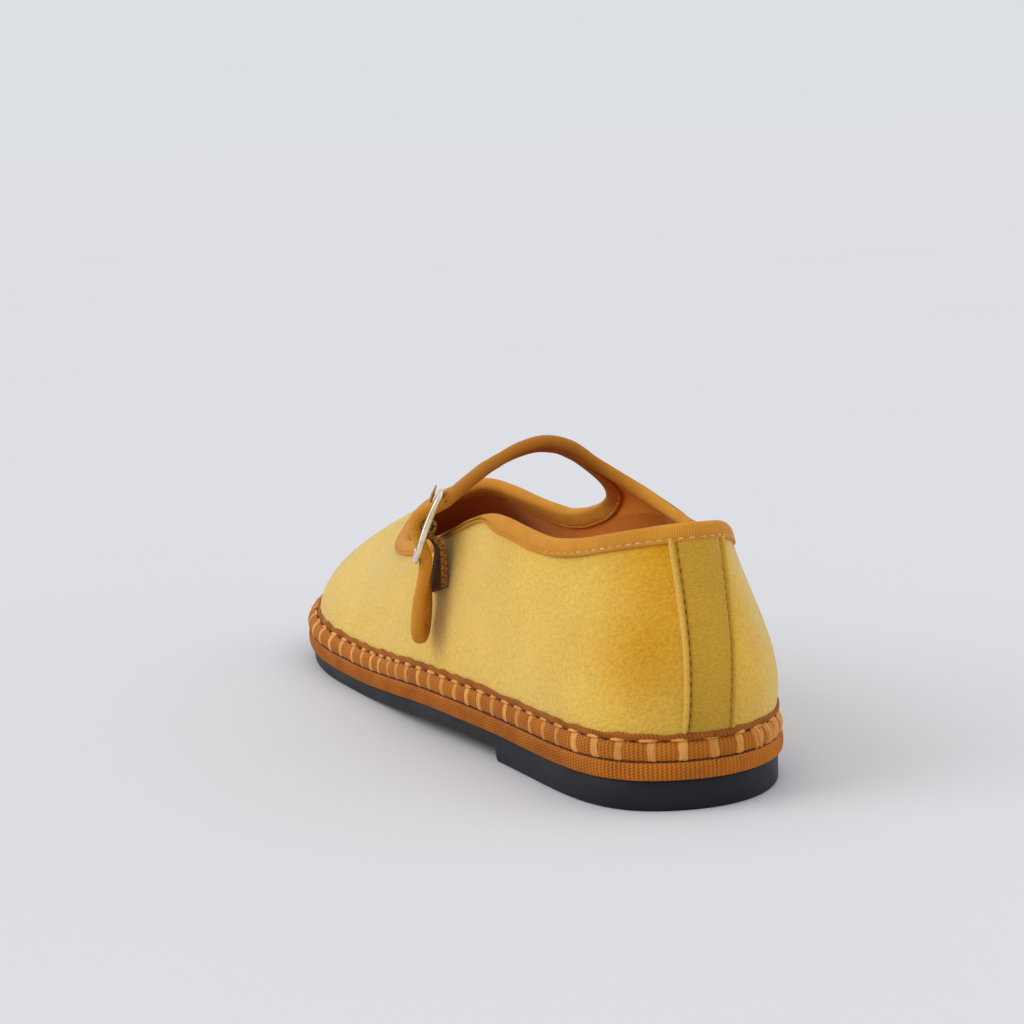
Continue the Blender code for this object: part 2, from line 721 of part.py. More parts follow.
def make_binding(rows, surface, collection):
    loop = rim_loop(rows)
    tree = cloth_tree(rows)
    near = WALL / 2 + TAPE_GAP
    far = near + TAPE
    verts = []
    count = len(loop)
    for i, (point, inward, reach) in enumerate(loop):
        ahead = (loop[(i + 1) % count][0] - loop[i - 1][0]).normalized()
        inward = (inward - ahead * inward.dot(ahead)).normalized()
        normal = inward.cross(ahead).normalized()
        legs = []
        for share in (1.0, 0.5):
            place = point + inward * reach * share
            found, _, _, _ = tree.find_nearest(place)
            blend = Vector((0, 0, 0))
            for _, face_normal, _, _ in tree.find_nearest_range(found, 2 * TAPE):
                blend += face_normal if face_normal.dot(normal) > 0 else -face_normal
            legs.append((found, blend.normalized()))
        (end, end_normal), (middle, middle_normal) = legs
        verts += [
            end + end_normal * far,
            middle + middle_normal * far,
            point + normal * far * 0.92 - inward * TAPE_GAP * 0.5,
            point + normal * far * 0.45 - inward * (TAPE_GAP + TAPE),
            point - normal * far * 0.45 - inward * (TAPE_GAP + TAPE),
            point - normal * far * 0.92 - inward * TAPE_GAP * 0.5,
            middle - middle_normal * far,
            end - end_normal * far,
            end - end_normal * near,
            middle - middle_normal * near,
            point - normal * near - inward * TAPE_GAP,
            point + normal * near - inward * TAPE_GAP,
            middle + middle_normal * near,
            end + end_normal * near,
        ]
    faces = grid_faces(count, 14, closed_rows=True, closed_columns=True)
    made = add_object("collar_binding", verts, faces, surface, collection)
    face_out(made)
    return made


def tube(name, points, radius, surface, collection, closed=False):
    curve = bpy.data.curves.new(name, "CURVE")
    curve.dimensions = "3D"
    curve.bevel_depth = radius
    curve.bevel_resolution = 2
    curve.use_fill_caps = True
    run = curve.splines.new("POLY")
    run.points.add(len(points) - 1)
    for spot, point in zip(run.points, points):
        spot.co = (*point, 1.0)
    run.use_cyclic_u = closed
    run.use_smooth = True
    curve.materials.append(surface)
    made = bpy.data.objects.new(name, curve)
    collection.objects.link(made)
    return made


def as_mesh(piece, collection):
    """Replace a curve object by its closed mesh."""
    bpy.context.view_layer.update()
    graph = bpy.context.evaluated_depsgraph_get()
    mesh = bpy.data.meshes.new_from_object(piece.evaluated_get(graph))
    shape = bmesh.new()
    shape.from_mesh(mesh)
    bmesh.ops.remove_doubles(shape, verts=shape.verts, dist=0.00001)
    shape.to_mesh(mesh)
    shape.free()
    name = piece.name
    made = bpy.data.objects.new(name + "_mesh", mesh)
    made.matrix_world = piece.matrix_world
    collection.objects.link(made)
    bpy.data.objects.remove(piece)
    made.name = name
    return made


def make_buckle_frame(surface, collection, cutters):
    """Rounded frame of bent rod with a bar across its middle."""
    half_length = BAR_SPACING
    half_width = (BUCKLE_WIDTH - BAR_DIAMETER) / 2
    points = []
    for quarter in range(4):
        down = (half_length - BUCKLE_CORNER) * (1 if quarter in (0, 3) else -1)
        along = (half_width - BUCKLE_CORNER) * (1 if quarter in (0, 1) else -1)
        for i in range(5):
            angle = math.pi / 2 * (quarter + i / 4)
            points.append(buckle_point(down + BUCKLE_CORNER * math.cos(angle), 0.0,
                                       along + BUCKLE_CORNER * math.sin(angle)))
    frame = as_mesh(tube("buckle_frame", points, BAR_DIAMETER / 2, surface, collection, closed=True), collection)
    bar = tube("buckle_bar_joint", [buckle_point(0, 0, -half_width), buckle_point(0, 0, half_width)],
               BAR_DIAMETER / 2, surface, cutters)
    bar = as_mesh(bar, cutters)
    bar.hide_render = True
    bar.display_type = "WIRE"
    join = frame.modifiers.new("Bar", "BOOLEAN")
    join.operation = "UNION"
    join.object = bar
    return frame


def make_buckle_prong(surface, collection):
    """Rod bent round the middle bar, then straight over the top bar."""
    points = []
    for i in range(9):
        angle = PRONG_WRAP * (i / 8 - 1)
        points.append(buckle_point(-PRONG_LIFT * math.sin(angle), PRONG_LIFT * math.cos(angle)))
    tip = BAR_SPACING + PRONG_TIP
    for share in (0.35, 0.7, 1.0):
        points.append(buckle_point(-tip * share, PRONG_LIFT))
    return tube("buckle_prong", points, PRONG_DIAMETER / 2, surface, collection)


def make_buckle_tab(surface, collection, cutters):
    """Strip folded round the middle bar, its two layers stitched together on the quarter."""
    eye = BAR_DIAMETER / 2 + GAP
    outer_radius = eye + TAB_THICKNESS
    half = TAB_WIDTH / 2
    turn = EDGE.turn_at(STRAP_CENTRE, 1)
    top = rib_top(turn).z
    quarter_along = (wall_point(turn - 0.02, 1.9) - wall_point(turn + 0.02, 1.9)).normalized()
    away = WALL / 2 + TAPE_GAP + TAB_THICKNESS
    front = []
    back = []
    for i in range(11):
        angle = TAB_MOUTH + (2 * math.pi - 2 * TAB_MOUTH) * i / 10
        place = buckle_point(outer_radius * math.cos(angle), outer_radius * math.sin(angle))
        front.append(place - BUCKLE_ALONG * half)
        back.append(place + BUCKLE_ALONG * half)
    stack = []
    for i, depth in enumerate((0.25, 0.5, 0.75, 1.0)):
        rise = rise_at_height(turn, top - depth * TAB_LENGTH)
        normal = wall_normal(turn, rise)
        along = BUCKLE_ALONG.lerp(quarter_along, (i + 1) / 4).normalized()
        lift = TAB_TWIST_ROOM * (1 - depth) + (0.0 if i else TAPE)
        stack.append((skin(turn, rise, away + lift), normal, along))
    for place, normal, along in stack:
        front.append(place - normal * TAB_THICKNESS - along * half)
        back.append(place - normal * TAB_THICKNESS + along * half)
    for place, normal, along in stack[::-1]:
        front.append(place + normal * TAB_THICKNESS - along * half)
        back.append(place + normal * TAB_THICKNESS + along * half)
    count = len(front)
    faces = [tuple(range(count)), tuple(range(2 * count - 1, count - 1, -1))]
    faces += grid_faces(2, count, closed_columns=True)
    tab = add_object("buckle_tab", front + back, faces, surface, collection)
    face_out(tab)
    room = PRONG_DIAMETER + 2 * GAP
    cut_round(tab, "tab_eye_cutter", eye, TAB_WIDTH * 1.2, 16, cutters)
    cut_round(tab, "tab_notch_cutter", PRONG_LIFT + room / 2, room, 24, cutters)
    return tab


def cut_round(piece, name, radius, length, sides, cutters):
    """Cut a round hole about the buckle's middle bar."""
    shape = bmesh.new()
    bmesh.ops.create_cone(shape, cap_ends=True, segments=sides, radius1=radius, radius2=radius, depth=length)
    mesh = bpy.data.meshes.new(name)
    shape.to_mesh(mesh)
    shape.free()
    cutter = bpy.data.objects.new(name, mesh)
    cutter.location = buckle_point(0, 0)
    cutter.rotation_mode = "QUATERNION"
    cutter.rotation_quaternion = BUCKLE_ALONG.to_track_quat("Z", "Y")
    cutter.hide_render = True
    cutter.display_type = "WIRE"
    cutters.objects.link(cutter)
    cut = piece.modifiers.new(name, "BOOLEAN")
    cut.operation = "DIFFERENCE"
    cut.object = cutter


def main():
    for item in list(bpy.data.objects):
        bpy.data.objects.remove(item)
    parts = bpy.data.collections.new("mary_jane_flat")
    cutters = bpy.data.collections.new("mary_jane_flat_cutters")
    bpy.context.scene.collection.children.link(parts)
    bpy.context.scene.collection.children.link(cutters)

    rubber = material("rubber", (0.030, 0.030, 0.036), 0.55)
    band = material("ribbed_band", (0.45, 0.15, 0.015), 0.80)
    welt = material("welt_tape", (0.50, 0.17, 0.020), 0.80)
    sock = material("sock", (0.30, 0.10, 0.015), 0.85)
    velvet = material("velvet", (0.68, 0.42, 0.09), 0.90)
    dark_velvet = material("backstay_velvet", (0.45, 0.25, 0.03), 0.90)
    tape = material("binding_tape", (0.55, 0.25, 0.05), 0.80)
    metal = material("buckle_metal", (0.78, 0.74, 0.66), 0.28, 1.0)
    nap = material("tab_nap", (0.16, 0.06, 0.015), 0.95)

    make_outsole(rubber, parts)
    make_midsole(band, parts)
    make_welt(welt, parts)
    make_insole(sock, parts)
    make_upper(velvet, parts)
    make_backstay(dark_velvet, parts)
    rows = strap_rows()
    make_strap(rows, velvet, parts, cutters)
    make_binding(rows, tape, parts)
    make_buckle_frame(metal, parts, cutters)
    make_buckle_prong(metal, parts)
    make_buckle_tab(nap, parts, cutters)


main()
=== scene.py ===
"""Looks of a velvet mary jane flat, left shoe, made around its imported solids.

Metres, +Z up. The toe points along -Y and the outer side, with the buckle, along +X.
"""

import math
import random
from collections import namedtuple

import bpy
import numpy as np
from mathutils import Matrix, Vector, noise
from mathutils.bvhtree import BVHTree


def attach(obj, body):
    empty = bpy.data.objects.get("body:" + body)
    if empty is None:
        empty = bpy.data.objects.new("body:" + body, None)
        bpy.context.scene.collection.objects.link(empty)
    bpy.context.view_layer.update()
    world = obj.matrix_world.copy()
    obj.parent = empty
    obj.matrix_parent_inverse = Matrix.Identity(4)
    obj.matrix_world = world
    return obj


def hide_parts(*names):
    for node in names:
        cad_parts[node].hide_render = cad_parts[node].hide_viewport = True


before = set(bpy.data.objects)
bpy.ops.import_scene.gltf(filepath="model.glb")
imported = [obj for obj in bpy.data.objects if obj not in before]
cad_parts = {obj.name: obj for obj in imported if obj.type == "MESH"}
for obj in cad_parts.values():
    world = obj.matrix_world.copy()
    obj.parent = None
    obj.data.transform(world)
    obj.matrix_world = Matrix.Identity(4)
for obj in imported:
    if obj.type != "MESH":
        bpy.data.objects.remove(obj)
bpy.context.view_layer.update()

# Sizes of the solids
SOLE_LENGTH = 0.250
HEEL_WIDTH = 0.060
WAIST_WIDTH = 0.062
BALL_WIDTH = 0.080
OUTSOLE_THICKNESS = 0.0040
HEEL_STEP = 0.0031
HEEL_LENGTH = 0.0645
BREAST_SLOPE = 0.0015
TOE_SPRING = 0.0061
OUTSOLE_EDGE_RADIUS = 0.0009
MIDSOLE_THICKNESS = 0.0050
MIDSOLE_OUTSET = 0.0013
INSOLE_THICKNESS = 0.0020
WELT_HEIGHT = 0.0046
WELT_OUTSET = 0.0009
TOE_INSET = 0.0020
LASTED_MARGIN = 0.0040
WALL = 0.0018
COLLAR_HEIGHT = 0.0650
OPENING_WIDTH = 0.054
BACKSTAY_WIDTH = 0.0127
TAPE = 0.0006
COLLAR_TAPE_REACH = 0.0033
STRAP_TAPE_REACH = 0.0031
INNER_TAPE_REACH = 0.0047
STRAP_WIDTH = 0.0110
STRAP_CENTRE = 0.0230
STRAP_PEAK = 0.0742
STRAP_END_HEIGHT = 0.0320
HANG_TURN = math.radians(-16)
BUCKLE_LENGTH = 0.0205
BUCKLE_WIDTH = 0.0180
BUCKLE_CORNER = 0.0035
BUCKLE_BOW = 0.0006
BUCKLE_HEIGHT = 0.0552
BUCKLE_STAND_OFF = 0.0336
BUCKLE_LEAN = math.radians(24.2)
STRAP_TWIST = math.radians(17)
END_TWIST = math.radians(17)
BAR_DIAMETER = 0.0018
PRONG_DIAMETER = 0.0011
PRONG_TIP = 0.0014
PRONG_WRAP = math.radians(250)
TAB_WIDTH = 0.0105
TAB_THICKNESS = 0.0008
TAB_LENGTH = 0.0150
TAB_TWIST_ROOM = 0.0017
TAB_MOUTH = math.radians(35)
GAP = 0.0003
TAPE_GAP = 0.00045
STRAP_CLOTH = 0.0014
STRAP_TAPE = 0.0009
MIDSOLE_TOP = OUTSOLE_THICKNESS + MIDSOLE_THICKNESS
TOE_TIP_SHIFT = -0.12
ARCH = (0.40, 0.64)
SPRING_START = 0.72
INWARD_PULL = 0.015
STRAP_ROOT = (0.7064, 0.856)
ROOT_COLUMNS = 13
ROOT_ROWS = 7
HANG_ROWS = 5
ROOT_PULL = 0.026

# The scene's own detail
ROOT_FRONT_PULL = (0.057, 0.064)
ROOT_BLEND = 1.3
PUCKER = 0.00010
PUCKER_REACH = 0.0030
SOFT_SWELL = 0.00035
SLIM_REACH = 0.014
BACKSTAY_RAISE = 0.00050
BACKSTAY_RIDGE = 0.00085
BACKSTAY_GROOVE = 0.00055
BACKSTAY_STITCH_LINE = 0.77
BACKSTAY_STITCH_PITCH = 0.0024
BACKSTAY_STITCH_LENGTH = 0.0013
BACKSTAY_STITCH_RADIUS = 0.00020
BAND_RIB = 0.00013
BAND_WOBBLE = 0.00012
WELT_RIB = 0.00008
WELT_PUFF = 0.00075
WELT_CRUSH = 0.00022
FRILL_RISE = 0.0017
FRILL_WAVE = 0.0005
FRILL_RIB = 0.00013
FRILL_THICKNESS = 0.00045
STRIP_WIDTHS = (0.0023, 0.0031)
LOOSE_WIDTHS = (0.0012, 0.0022)
LOOSE_RAISE = 0.00022
STRIP_CROWN = 0.00030
STRIP_CREASE = 0.00014
SADDLE_LENGTHS = (0.0034, 0.0046)
SADDLE_RADIUS = 0.00052
HOLE_LENGTH = 0.0017
HOLE_RADIUS = 0.00042
SEAM_BUMPS = 420
SEAM_RADIUS = 0.00016
SEAM_BUMP = 0.00012
SOCK_DIP = 0.0004
STRAP_CROWN = 0.00012
STRAP_INNER_REACH = 0.0040
TAPE_STEP = 0.00062
TAPE_EDGE_ROLL = 0.00102
TAPE_WRINKLE = 0.00013
TAPE_STITCH_IN = 0.00082
TAPE_STITCH_PITCH = 0.0026
TAPE_STITCH_LENGTHS = (0.0013, 0.0018)
TAPE_STITCH_RADIUS = 0.00021
STITCH_ARCH = 0.00004
RIM_HALF_WIDTH = 0.00098
RIM_HALF_THICKNESS = 0.00062
TAB_STEP = 0.0004
TAB_BEAD = 0.00046
TAB_BODY = 0.00030
TAB_PICOT = 0.00016
TAB_PICOT_PITCH = 0.0011
PAPER_REACH = 60.0
FOCAL_PIXELS = 2538
PICTURE_PIXELS = 1024
SENSOR = 36.0
BAND_INSET = 0.0003
TOE_SLIMMING = 0.0007
WHIP_STITCHES = 71
FRONT_SPACING = 0.74
# Loose strands at the inner heel: turn round the sole and sideways run up the strip
LOOSE_STRANDS = (
    (0.9790, 0.0014), (0.9762, 0.0021), (0.9705, 0.0009), (0.9684, 0.0018), (0.9660, 0.0012),
    (0.9612, 0.0020), (0.9588, 0.0006), (0.9530, 0.0016), (0.9508, 0.0023), (0.9462, 0.0010),
)
UP = np.array([0.0, 0.0, 1.0])
LEVEL = np.array([1.0, 1.0, 0.0])
TAPE_RIBS = 560
RIB_PITCH = 1.13
TREAD_PITCH = 0.0036
TREAD_WAVE = 0.0090

# Edge of the sole: share of the length, width, and the outer and inner half as shares of it
SOLE_EDGE = (
    (0.020, HEEL_WIDTH, 0.55, 0.48),
    (0.070, HEEL_WIDTH, 0.82, 0.82),
    (0.150, HEEL_WIDTH, 0.93, 0.99),
    (0.250, HEEL_WIDTH, 1.00, 1.00),
    (0.360, WAIST_WIDTH, 1.08, 0.89),
    (0.470, WAIST_WIDTH, 1.19, 0.82),
    (0.570, BALL_WIDTH, 0.95, 0.69),
    (0.660, BALL_WIDTH, 0.98, 0.81),
    (0.740, BALL_WIDTH, 1.00, 0.94),
    (0.820, BALL_WIDTH, 0.96, 1.00),
    (0.890, BALL_WIDTH, 0.82, 0.95),
    (0.950, BALL_WIDTH, 0.58, 0.78),
    (0.985, BALL_WIDTH, 0.31, 0.53),
)
# Ribs of the upper: turn round the sole, the top's place across, along and up as shares of the
# opening, the sole and the collar, slope and swell in degrees, low and high reach, toe inset
RIBS = (
    (0.000, -0.080, 0.463, 0.990, 78, 14, 0.28, 0.38, 0.13),
    (0.050, 0.455, 0.418, 0.950, 74, 14, 0.24, 0.36, 0.13),
    (0.100, 0.770, 0.326, 0.893, 74, 13, 0.22, 0.36, 0.13),
    (0.150, 0.893, 0.218, 0.926, 76, 13, 0.22, 0.36, 0.13),
    (0.175, 0.915, 0.160, 0.897, 77, 5, 0.22, 0.38, 0.13),
    (0.200, 0.963, 0.100, 0.822, 78, -2, 0.20, 0.40, 0.14),
    (0.250, 1.007, -0.004, 0.715, 68, -4, 0.22, 0.38, 0.20),
    (0.300, 0.885, -0.112, 0.655, 50, -2, 0.26, 0.38, 0.34),
    (0.350, 0.574, -0.196, 0.660, 36, -6, 0.22, 0.40, 0.58),
    (0.400, 0.278, -0.242, 0.711, 29, -6, 0.22, 0.42, 0.84),
    (0.450, 0.050, -0.258, 0.755, 27, -4, 0.18, 0.42, 0.97),
    (0.500, -0.125, -0.264, 0.772, 26, -4, 0.12, 0.42, 1.00),
    (0.550, -0.278, -0.262, 0.788, 28, -5, 0.14, 0.42, 0.97),
    (0.600, -0.459, -0.246, 0.806, 36, -6, 0.20, 0.40, 0.84),
    (0.650, -0.685, -0.206, 0.770, 48, -2, 0.24, 0.38, 0.58),
    (0.700, -0.911, -0.126, 0.722, 64, 6, 0.26, 0.36, 0.34),
    (0.750, -1.007, -0.012, 0.752, 74, 12, 0.26, 0.36, 0.20),
    (0.800, -1.007, 0.104, 0.824, 78, 13, 0.26, 0.36, 0.14),
    (0.850, -0.963, 0.216, 0.838, 78, 13, 0.28, 0.38, 0.13),
    (0.900, -0.867, 0.322, 0.853, 76, 14, 0.34, 0.38, 0.13),
    (0.950, -0.500, 0.416, 0.942, 76, 15, 0.32, 0.40, 0.13),
)
# Middle line of the free strap: across as a share of half the opening, and share of the peak
STRAP_LINE = (
    (-0.41, 0.927), (-0.20, 0.977), (0.05, 1.000), (0.25, 0.993), (0.45, 0.970), (0.71, 0.925),
)


# Helpers for arrays of points


def unit(vectors):
    return vectors / np.maximum(np.linalg.norm(vectors, axis=-1, keepdims=True), 1e-12)


def signed_power(value, power):
    return np.sign(value) * np.abs(value) ** power


def between(first, second, share):
    return first * (1 - share) + second * share


def hump(value, centre, spread):
    return np.exp(-((value - centre) / spread) ** 2)


def even_turns(count):
    return np.arange(count) / count


def runs(points):
    """Length of a polyline up to each of its points."""
    steps = np.linalg.norm(np.diff(points, axis=0), axis=-1)
    return np.concatenate([[0.0], np.cumsum(steps)])


def ramp(value, low, high):
    share = np.clip((value - low) / (high - low), 0.0, 1.0)
    return share * share * (3 - 2 * share)


def hermite(start, start_pull, end, end_pull, t):
    return (
        start * (2 * t ** 3 - 3 * t ** 2 + 1) + start_pull * (t ** 3 - 2 * t ** 2 + t)
        + end * (3 * t ** 2 - 2 * t ** 3) + end_pull * (t ** 3 - t ** 2)
    )


def spline(keys, values, period):
    """Smooth periodic curve through rows of values, read at an array of keys."""
    keys = np.asarray(keys, float)
    values = np.asarray(values, float)
    count = len(keys)
    spans = np.append(keys[1:], keys[0] + period) - keys
    slopes = (np.roll(values, -1, axis=0) - values) / spans[:, None]
    matrix = np.zeros((count, count))
    for i in range(count):
        matrix[i, i - 1] += spans[i - 1]
        matrix[i, i] += 2 * (spans[i - 1] + spans[i])
        matrix[i, (i + 1) % count] += spans[i]
    bends = np.linalg.solve(matrix, 6 * (slopes - np.roll(slopes, 1, axis=0)))

    def curve(key):
        key = (np.asarray(key, float) - keys[0]) % period + keys[0]
        i = np.searchsorted(keys, key, side="right") - 1
        j = (i + 1) % count
        span = spans[i][..., None]
        after = (key - keys[i])[..., None]
        before = span - after
        return (
            (bends[i] * before ** 3 + bends[j] * after ** 3) / (6 * span)
            + (values[i] / span - bends[i] * span / 6) * before
            + (values[j] / span - bends[j] * span / 6) * after
        )

    return curve


def upsample(grid, factor, axis=0, closed=False):
    """Smooth curve through the points of a grid along one axis."""
    grid = np.moveaxis(np.asarray(grid, float), axis, 0)
    if closed:
        a, b, c, d = np.roll(grid, 1, 0), grid, np.roll(grid, -1, 0), np.roll(grid, -2, 0)
    else:
        long = np.concatenate([2 * grid[:1] - grid[1:2], grid, 2 * grid[-1:] - grid[-2:-1]])
        a, b, c, d = long[:-3], long[1:-2], long[2:-1], long[3:]
    steps = []
    for k in range(factor):
        t = k / factor
        steps.append(0.5 * (2 * b + (c - a) * t + (2 * a - 5 * b + 4 * c - d) * t * t
                            + (3 * b - a - 3 * c + d) * t ** 3))
    fine = np.stack(steps, 1).reshape((-1,) + grid.shape[1:])
    if not closed:
        fine = np.concatenate([fine, grid[-1:]])
    return np.moveaxis(fine, 0, axis)


def even_steps(line, step, closed=False):
    """Places along a polyline at even steps, as fractional indices, and its step count."""
    chain = np.concatenate([line, line[:1]]) if closed else line
    lengths = runs(chain)
    count = max(2, int(round(lengths[-1] / step)))
    marks = np.linspace(0.0, lengths[-1], count + 1)
    if closed:
        marks = marks[:-1]
    return np.interp(marks, lengths, np.arange(len(chain))), lengths[-1]


def read_at(values, places, closed=False):
    """Values between the rows of an array at fractional indices."""
    chain = np.concatenate([values, values[:1]]) if closed else values
    low = np.clip(np.floor(places).astype(int), 0, len(chain) - 2)
    share = (places - low).reshape((-1,) + (1,) * (chain.ndim - 1))
    return between(chain[low], chain[low + 1], share)


def grid_normals(grid, closed=True):
    """Outward unit normals of a grid of points, rows going up and columns round."""
    if closed:
        across = np.roll(grid, -1, 1) - np.roll(grid, 1, 1)
    else:
        across = np.gradient(grid, axis=1)
    return unit(np.cross(np.gradient(grid, axis=0), across))


def soft_noise(points, scale, seed=0.0):
    flat = points.reshape(-1, 3) * scale + seed
    return np.array([noise.noise(Vector(p)) for p in flat]).reshape(points.shape[:-1])


def edge_noise(turns, scale, seed):
    return soft_noise(edge_point(turns, 0.0, 0.0), scale, seed)


# The sole's edge and the upper's wall


def make_edge():
    half = SOLE_LENGTH / 2
    outer = [(o * w / 2, half - s * SOLE_LENGTH) for s, w, o, i in SOLE_EDGE]
    inner = [(-i * w / 2, half - s * SOLE_LENGTH) for s, w, o, i in SOLE_EDGE]
    tip = (TOE_TIP_SHIFT * BALL_WIDTH / 2, -half)
    points = np.array([(0.0, half)] + outer + [tip] + inner[::-1])
    chords = np.sqrt(np.linalg.norm(np.roll(points, -1, axis=0) - points, axis=1))
    keys = np.concatenate([[0.0], np.cumsum(chords)[:-1]])
    period = float(chords.sum())
    tip_key = keys[len(SOLE_EDGE) + 1]
    middle = 720
    samples = np.concatenate([
        np.linspace(0.0, tip_key, middle, endpoint=False),
        np.linspace(tip_key, period, middle + 1)])
    line = np.concatenate([spline(keys, points, period)(samples[:-1]), points[:1]])
    arcs = runs(line)
    first = arcs[middle]
    inner_turns = (arcs - first) / (arcs[-1] - first) / 2 + 0.5
    turns = np.where(arcs <= first, arcs / first / 2, inner_turns)
    return turns, line


EDGE_TURNS, EDGE_LINE = make_edge()
RIB_CURVE = spline([rib[0] for rib in RIBS], [rib[1:] for rib in RIBS], 1.0)


def edge_xy(turn):
    turn = np.asarray(turn, float) % 1.0
    return np.stack([np.interp(turn, EDGE_TURNS, EDGE_LINE[:, k]) for k in (0, 1)], -1)


def edge_out(turn):
    along = edge_xy(np.asarray(turn) + 0.004) - edge_xy(np.asarray(turn) - 0.004)
    return unit(np.stack([-along[..., 1], along[..., 0]], -1))


def edge_turn(along, outer=True):
    """Turn where the sole's outer or inner edge passes a place along the sole."""
    middle = len(EDGE_TURNS) // 2
    half = slice(middle, None, -1) if outer else slice(middle, None)
    return float(np.interp(along, EDGE_LINE[half, 1], EDGE_TURNS[half]))


def underside(y):
    station = 0.5 - y / SOLE_LENGTH
    spring = np.clip((station - SPRING_START) / (1 - SPRING_START), 0.0, 1.0) ** 2
    return HEEL_STEP * (1 - ramp(station, *ARCH)) + TOE_SPRING * spring


def edge_point(turn, outset, height):
    """Points beside the sole's edge, at heights above the outsole plate's underside."""
    turn, outset, height = np.broadcast_arrays(turn, outset, height)
    base = edge_xy(turn)
    place = base + edge_out(turn) * outset[..., None]
    return np.concatenate([place, (underside(base[..., 1]) + height)[..., None]], -1)


def rib_top(turn):
    rib = RIB_CURVE(turn)
    return rib[..., :3] * np.array([OPENING_WIDTH / 2, SOLE_LENGTH, COLLAR_HEIGHT])


def toe_inset(turn):
    return RIB_CURVE(turn)[..., 7]


def lasted(turn, share):
    angle = share * math.pi / 2
    low = WALL / 2 + GAP
    outset = -toe_inset(turn) * TOE_INSET - WALL / 2 - LASTED_MARGIN * (1 - np.sin(angle))
    height = MIDSOLE_TOP + low + (WELT_HEIGHT - low) * (1 - np.cos(angle))
    return edge_point(turn, outset, height)


def rib_end(turn):
    """Direction in which a rib reaches the topline."""
    inward = rib_top(turn) - lasted(turn, np.ones_like(turn))
    inward[..., 2] = 0.0
    inward[..., :2] -= edge_out(turn) * INWARD_PULL
    inward = unit(inward)
    slope = np.radians(RIB_CURVE(turn)[..., 3])[..., None]
    return inward * np.cos(slope) + UP * np.sin(slope)


def wall(turn, rise):
    """Middle of the upper's wall: rise 0 to 1 on the lasted edge, 1 to 2 up to the topline."""
    turn, rise = np.broadcast_arrays(np.asarray(turn, float), np.asarray(rise, float))
    rib = RIB_CURVE(turn)
    foot = lasted(turn, np.ones_like(turn))
    top = rib_top(turn)
    reach = np.linalg.norm(top - foot, axis=-1, keepdims=True)
    swell = np.radians(rib[..., 4])[..., None]
    out = np.concatenate([edge_out(turn), np.zeros(turn.shape + (1,))], -1)
    start = out * np.sin(swell) + UP * np.cos(swell)
    first = foot + start * reach * rib[..., 5:6]
    second = top - rib_end(turn) * reach * rib[..., 6:7]
    t = np.clip(rise - 1.0, 0.0, 1.0)[..., None]
    s = 1.0 - t
    side = foot * s ** 3 + first * 3 * s * s * t + second * 3 * s * t * t + top * t ** 3
    return np.where((rise <= 1.0)[..., None], lasted(turn, np.clip(rise, 0.0, 1.0)), side)


def wall_normal(turn, rise):
    step = 0.004
    around = wall(turn + step, rise) - wall(turn - step, rise)
    base = np.minimum(rise, 2.0 - step)
    up = wall(turn, base + step) - wall(turn, base)
    return unit(np.cross(up, around))


def skin(turn, rise, out):
    return wall(turn, rise) + wall_normal(turn, rise) * np.asarray(out)[..., None]


def rise_at_height(turn, height):
    """Rise at which the wall's middle reaches heights above the floor."""
    low = np.ones(np.broadcast(turn, height).shape)
    high = low + 1.0
    for _ in range(24):
        middle = (low + high) / 2
        below = wall(turn, middle)[..., 2] < height
        low = np.where(below, middle, low)
        high = np.where(below, high, middle)
    return low


def make_phase():
    """Share of all whip stitches passed at each turn: they are wider apart round the toe."""
    turns = np.linspace(0.0, 1.0, 1001)
    side = np.minimum(turns, 1 - turns)
    density = 1 - (1 - FRONT_SPACING) * ramp(side, 0.27, 0.33)
    passed = np.concatenate([[0.0], np.cumsum((density[1:] + density[:-1]) / 2)])
    return turns, passed / passed[-1]


PHASE_TURNS, PHASE = make_phase()


def stitch_phase(turn):
    return np.interp(np.asarray(turn) % 1.0, PHASE_TURNS, PHASE) * WHIP_STITCHES


def stitch_turn(number):
    return np.interp(np.asarray(number) / WHIP_STITCHES % 1.0, PHASE, PHASE_TURNS)


# The strap's middle surface, in the buckle's own frame


def vec(*values):
    return np.array(values, float)


BUCKLE_CENTRE = vec(BUCKLE_STAND_OFF, STRAP_CENTRE, BUCKLE_HEIGHT)
BUCKLE_DOWN = vec(math.sin(BUCKLE_LEAN), 0, -math.cos(BUCKLE_LEAN))
BUCKLE_FLAT_OUT = vec(math.cos(BUCKLE_LEAN), 0, math.sin(BUCKLE_LEAN))
BUCKLE_OUT = BUCKLE_FLAT_OUT * math.cos(STRAP_TWIST) - vec(0, math.sin(STRAP_TWIST), 0)
BUCKLE_ALONG = BUCKLE_FLAT_OUT * math.sin(STRAP_TWIST) + vec(0, math.cos(STRAP_TWIST), 0)
BAR_SPACING = (BUCKLE_LENGTH - BAR_DIAMETER) / 2
PRONG_LIFT = BAR_DIAMETER / 2 + GAP + PRONG_DIAMETER / 2
STACK = STRAP_CLOTH / 2 + STRAP_TAPE
UNDER_BAR = BAR_DIAMETER / 2 + 0.0001 + STACK
OVER_BAR = BAR_DIAMETER / 2 + TAB_THICKNESS + 0.0002 + STACK


def buckle_point(down, out, along=0.0):
    down, out, along = np.broadcast_arrays(down, out, along)
    return (BUCKLE_CENTRE + BUCKLE_DOWN * down[..., None] + BUCKLE_OUT * out[..., None]
            + BUCKLE_ALONG * along[..., None])


def arc(down, radius, start, end, count):
    angles = np.linspace(start, end, count + 1)
    return np.stack([down + radius * np.cos(angles), radius * np.sin(angles)], -1)


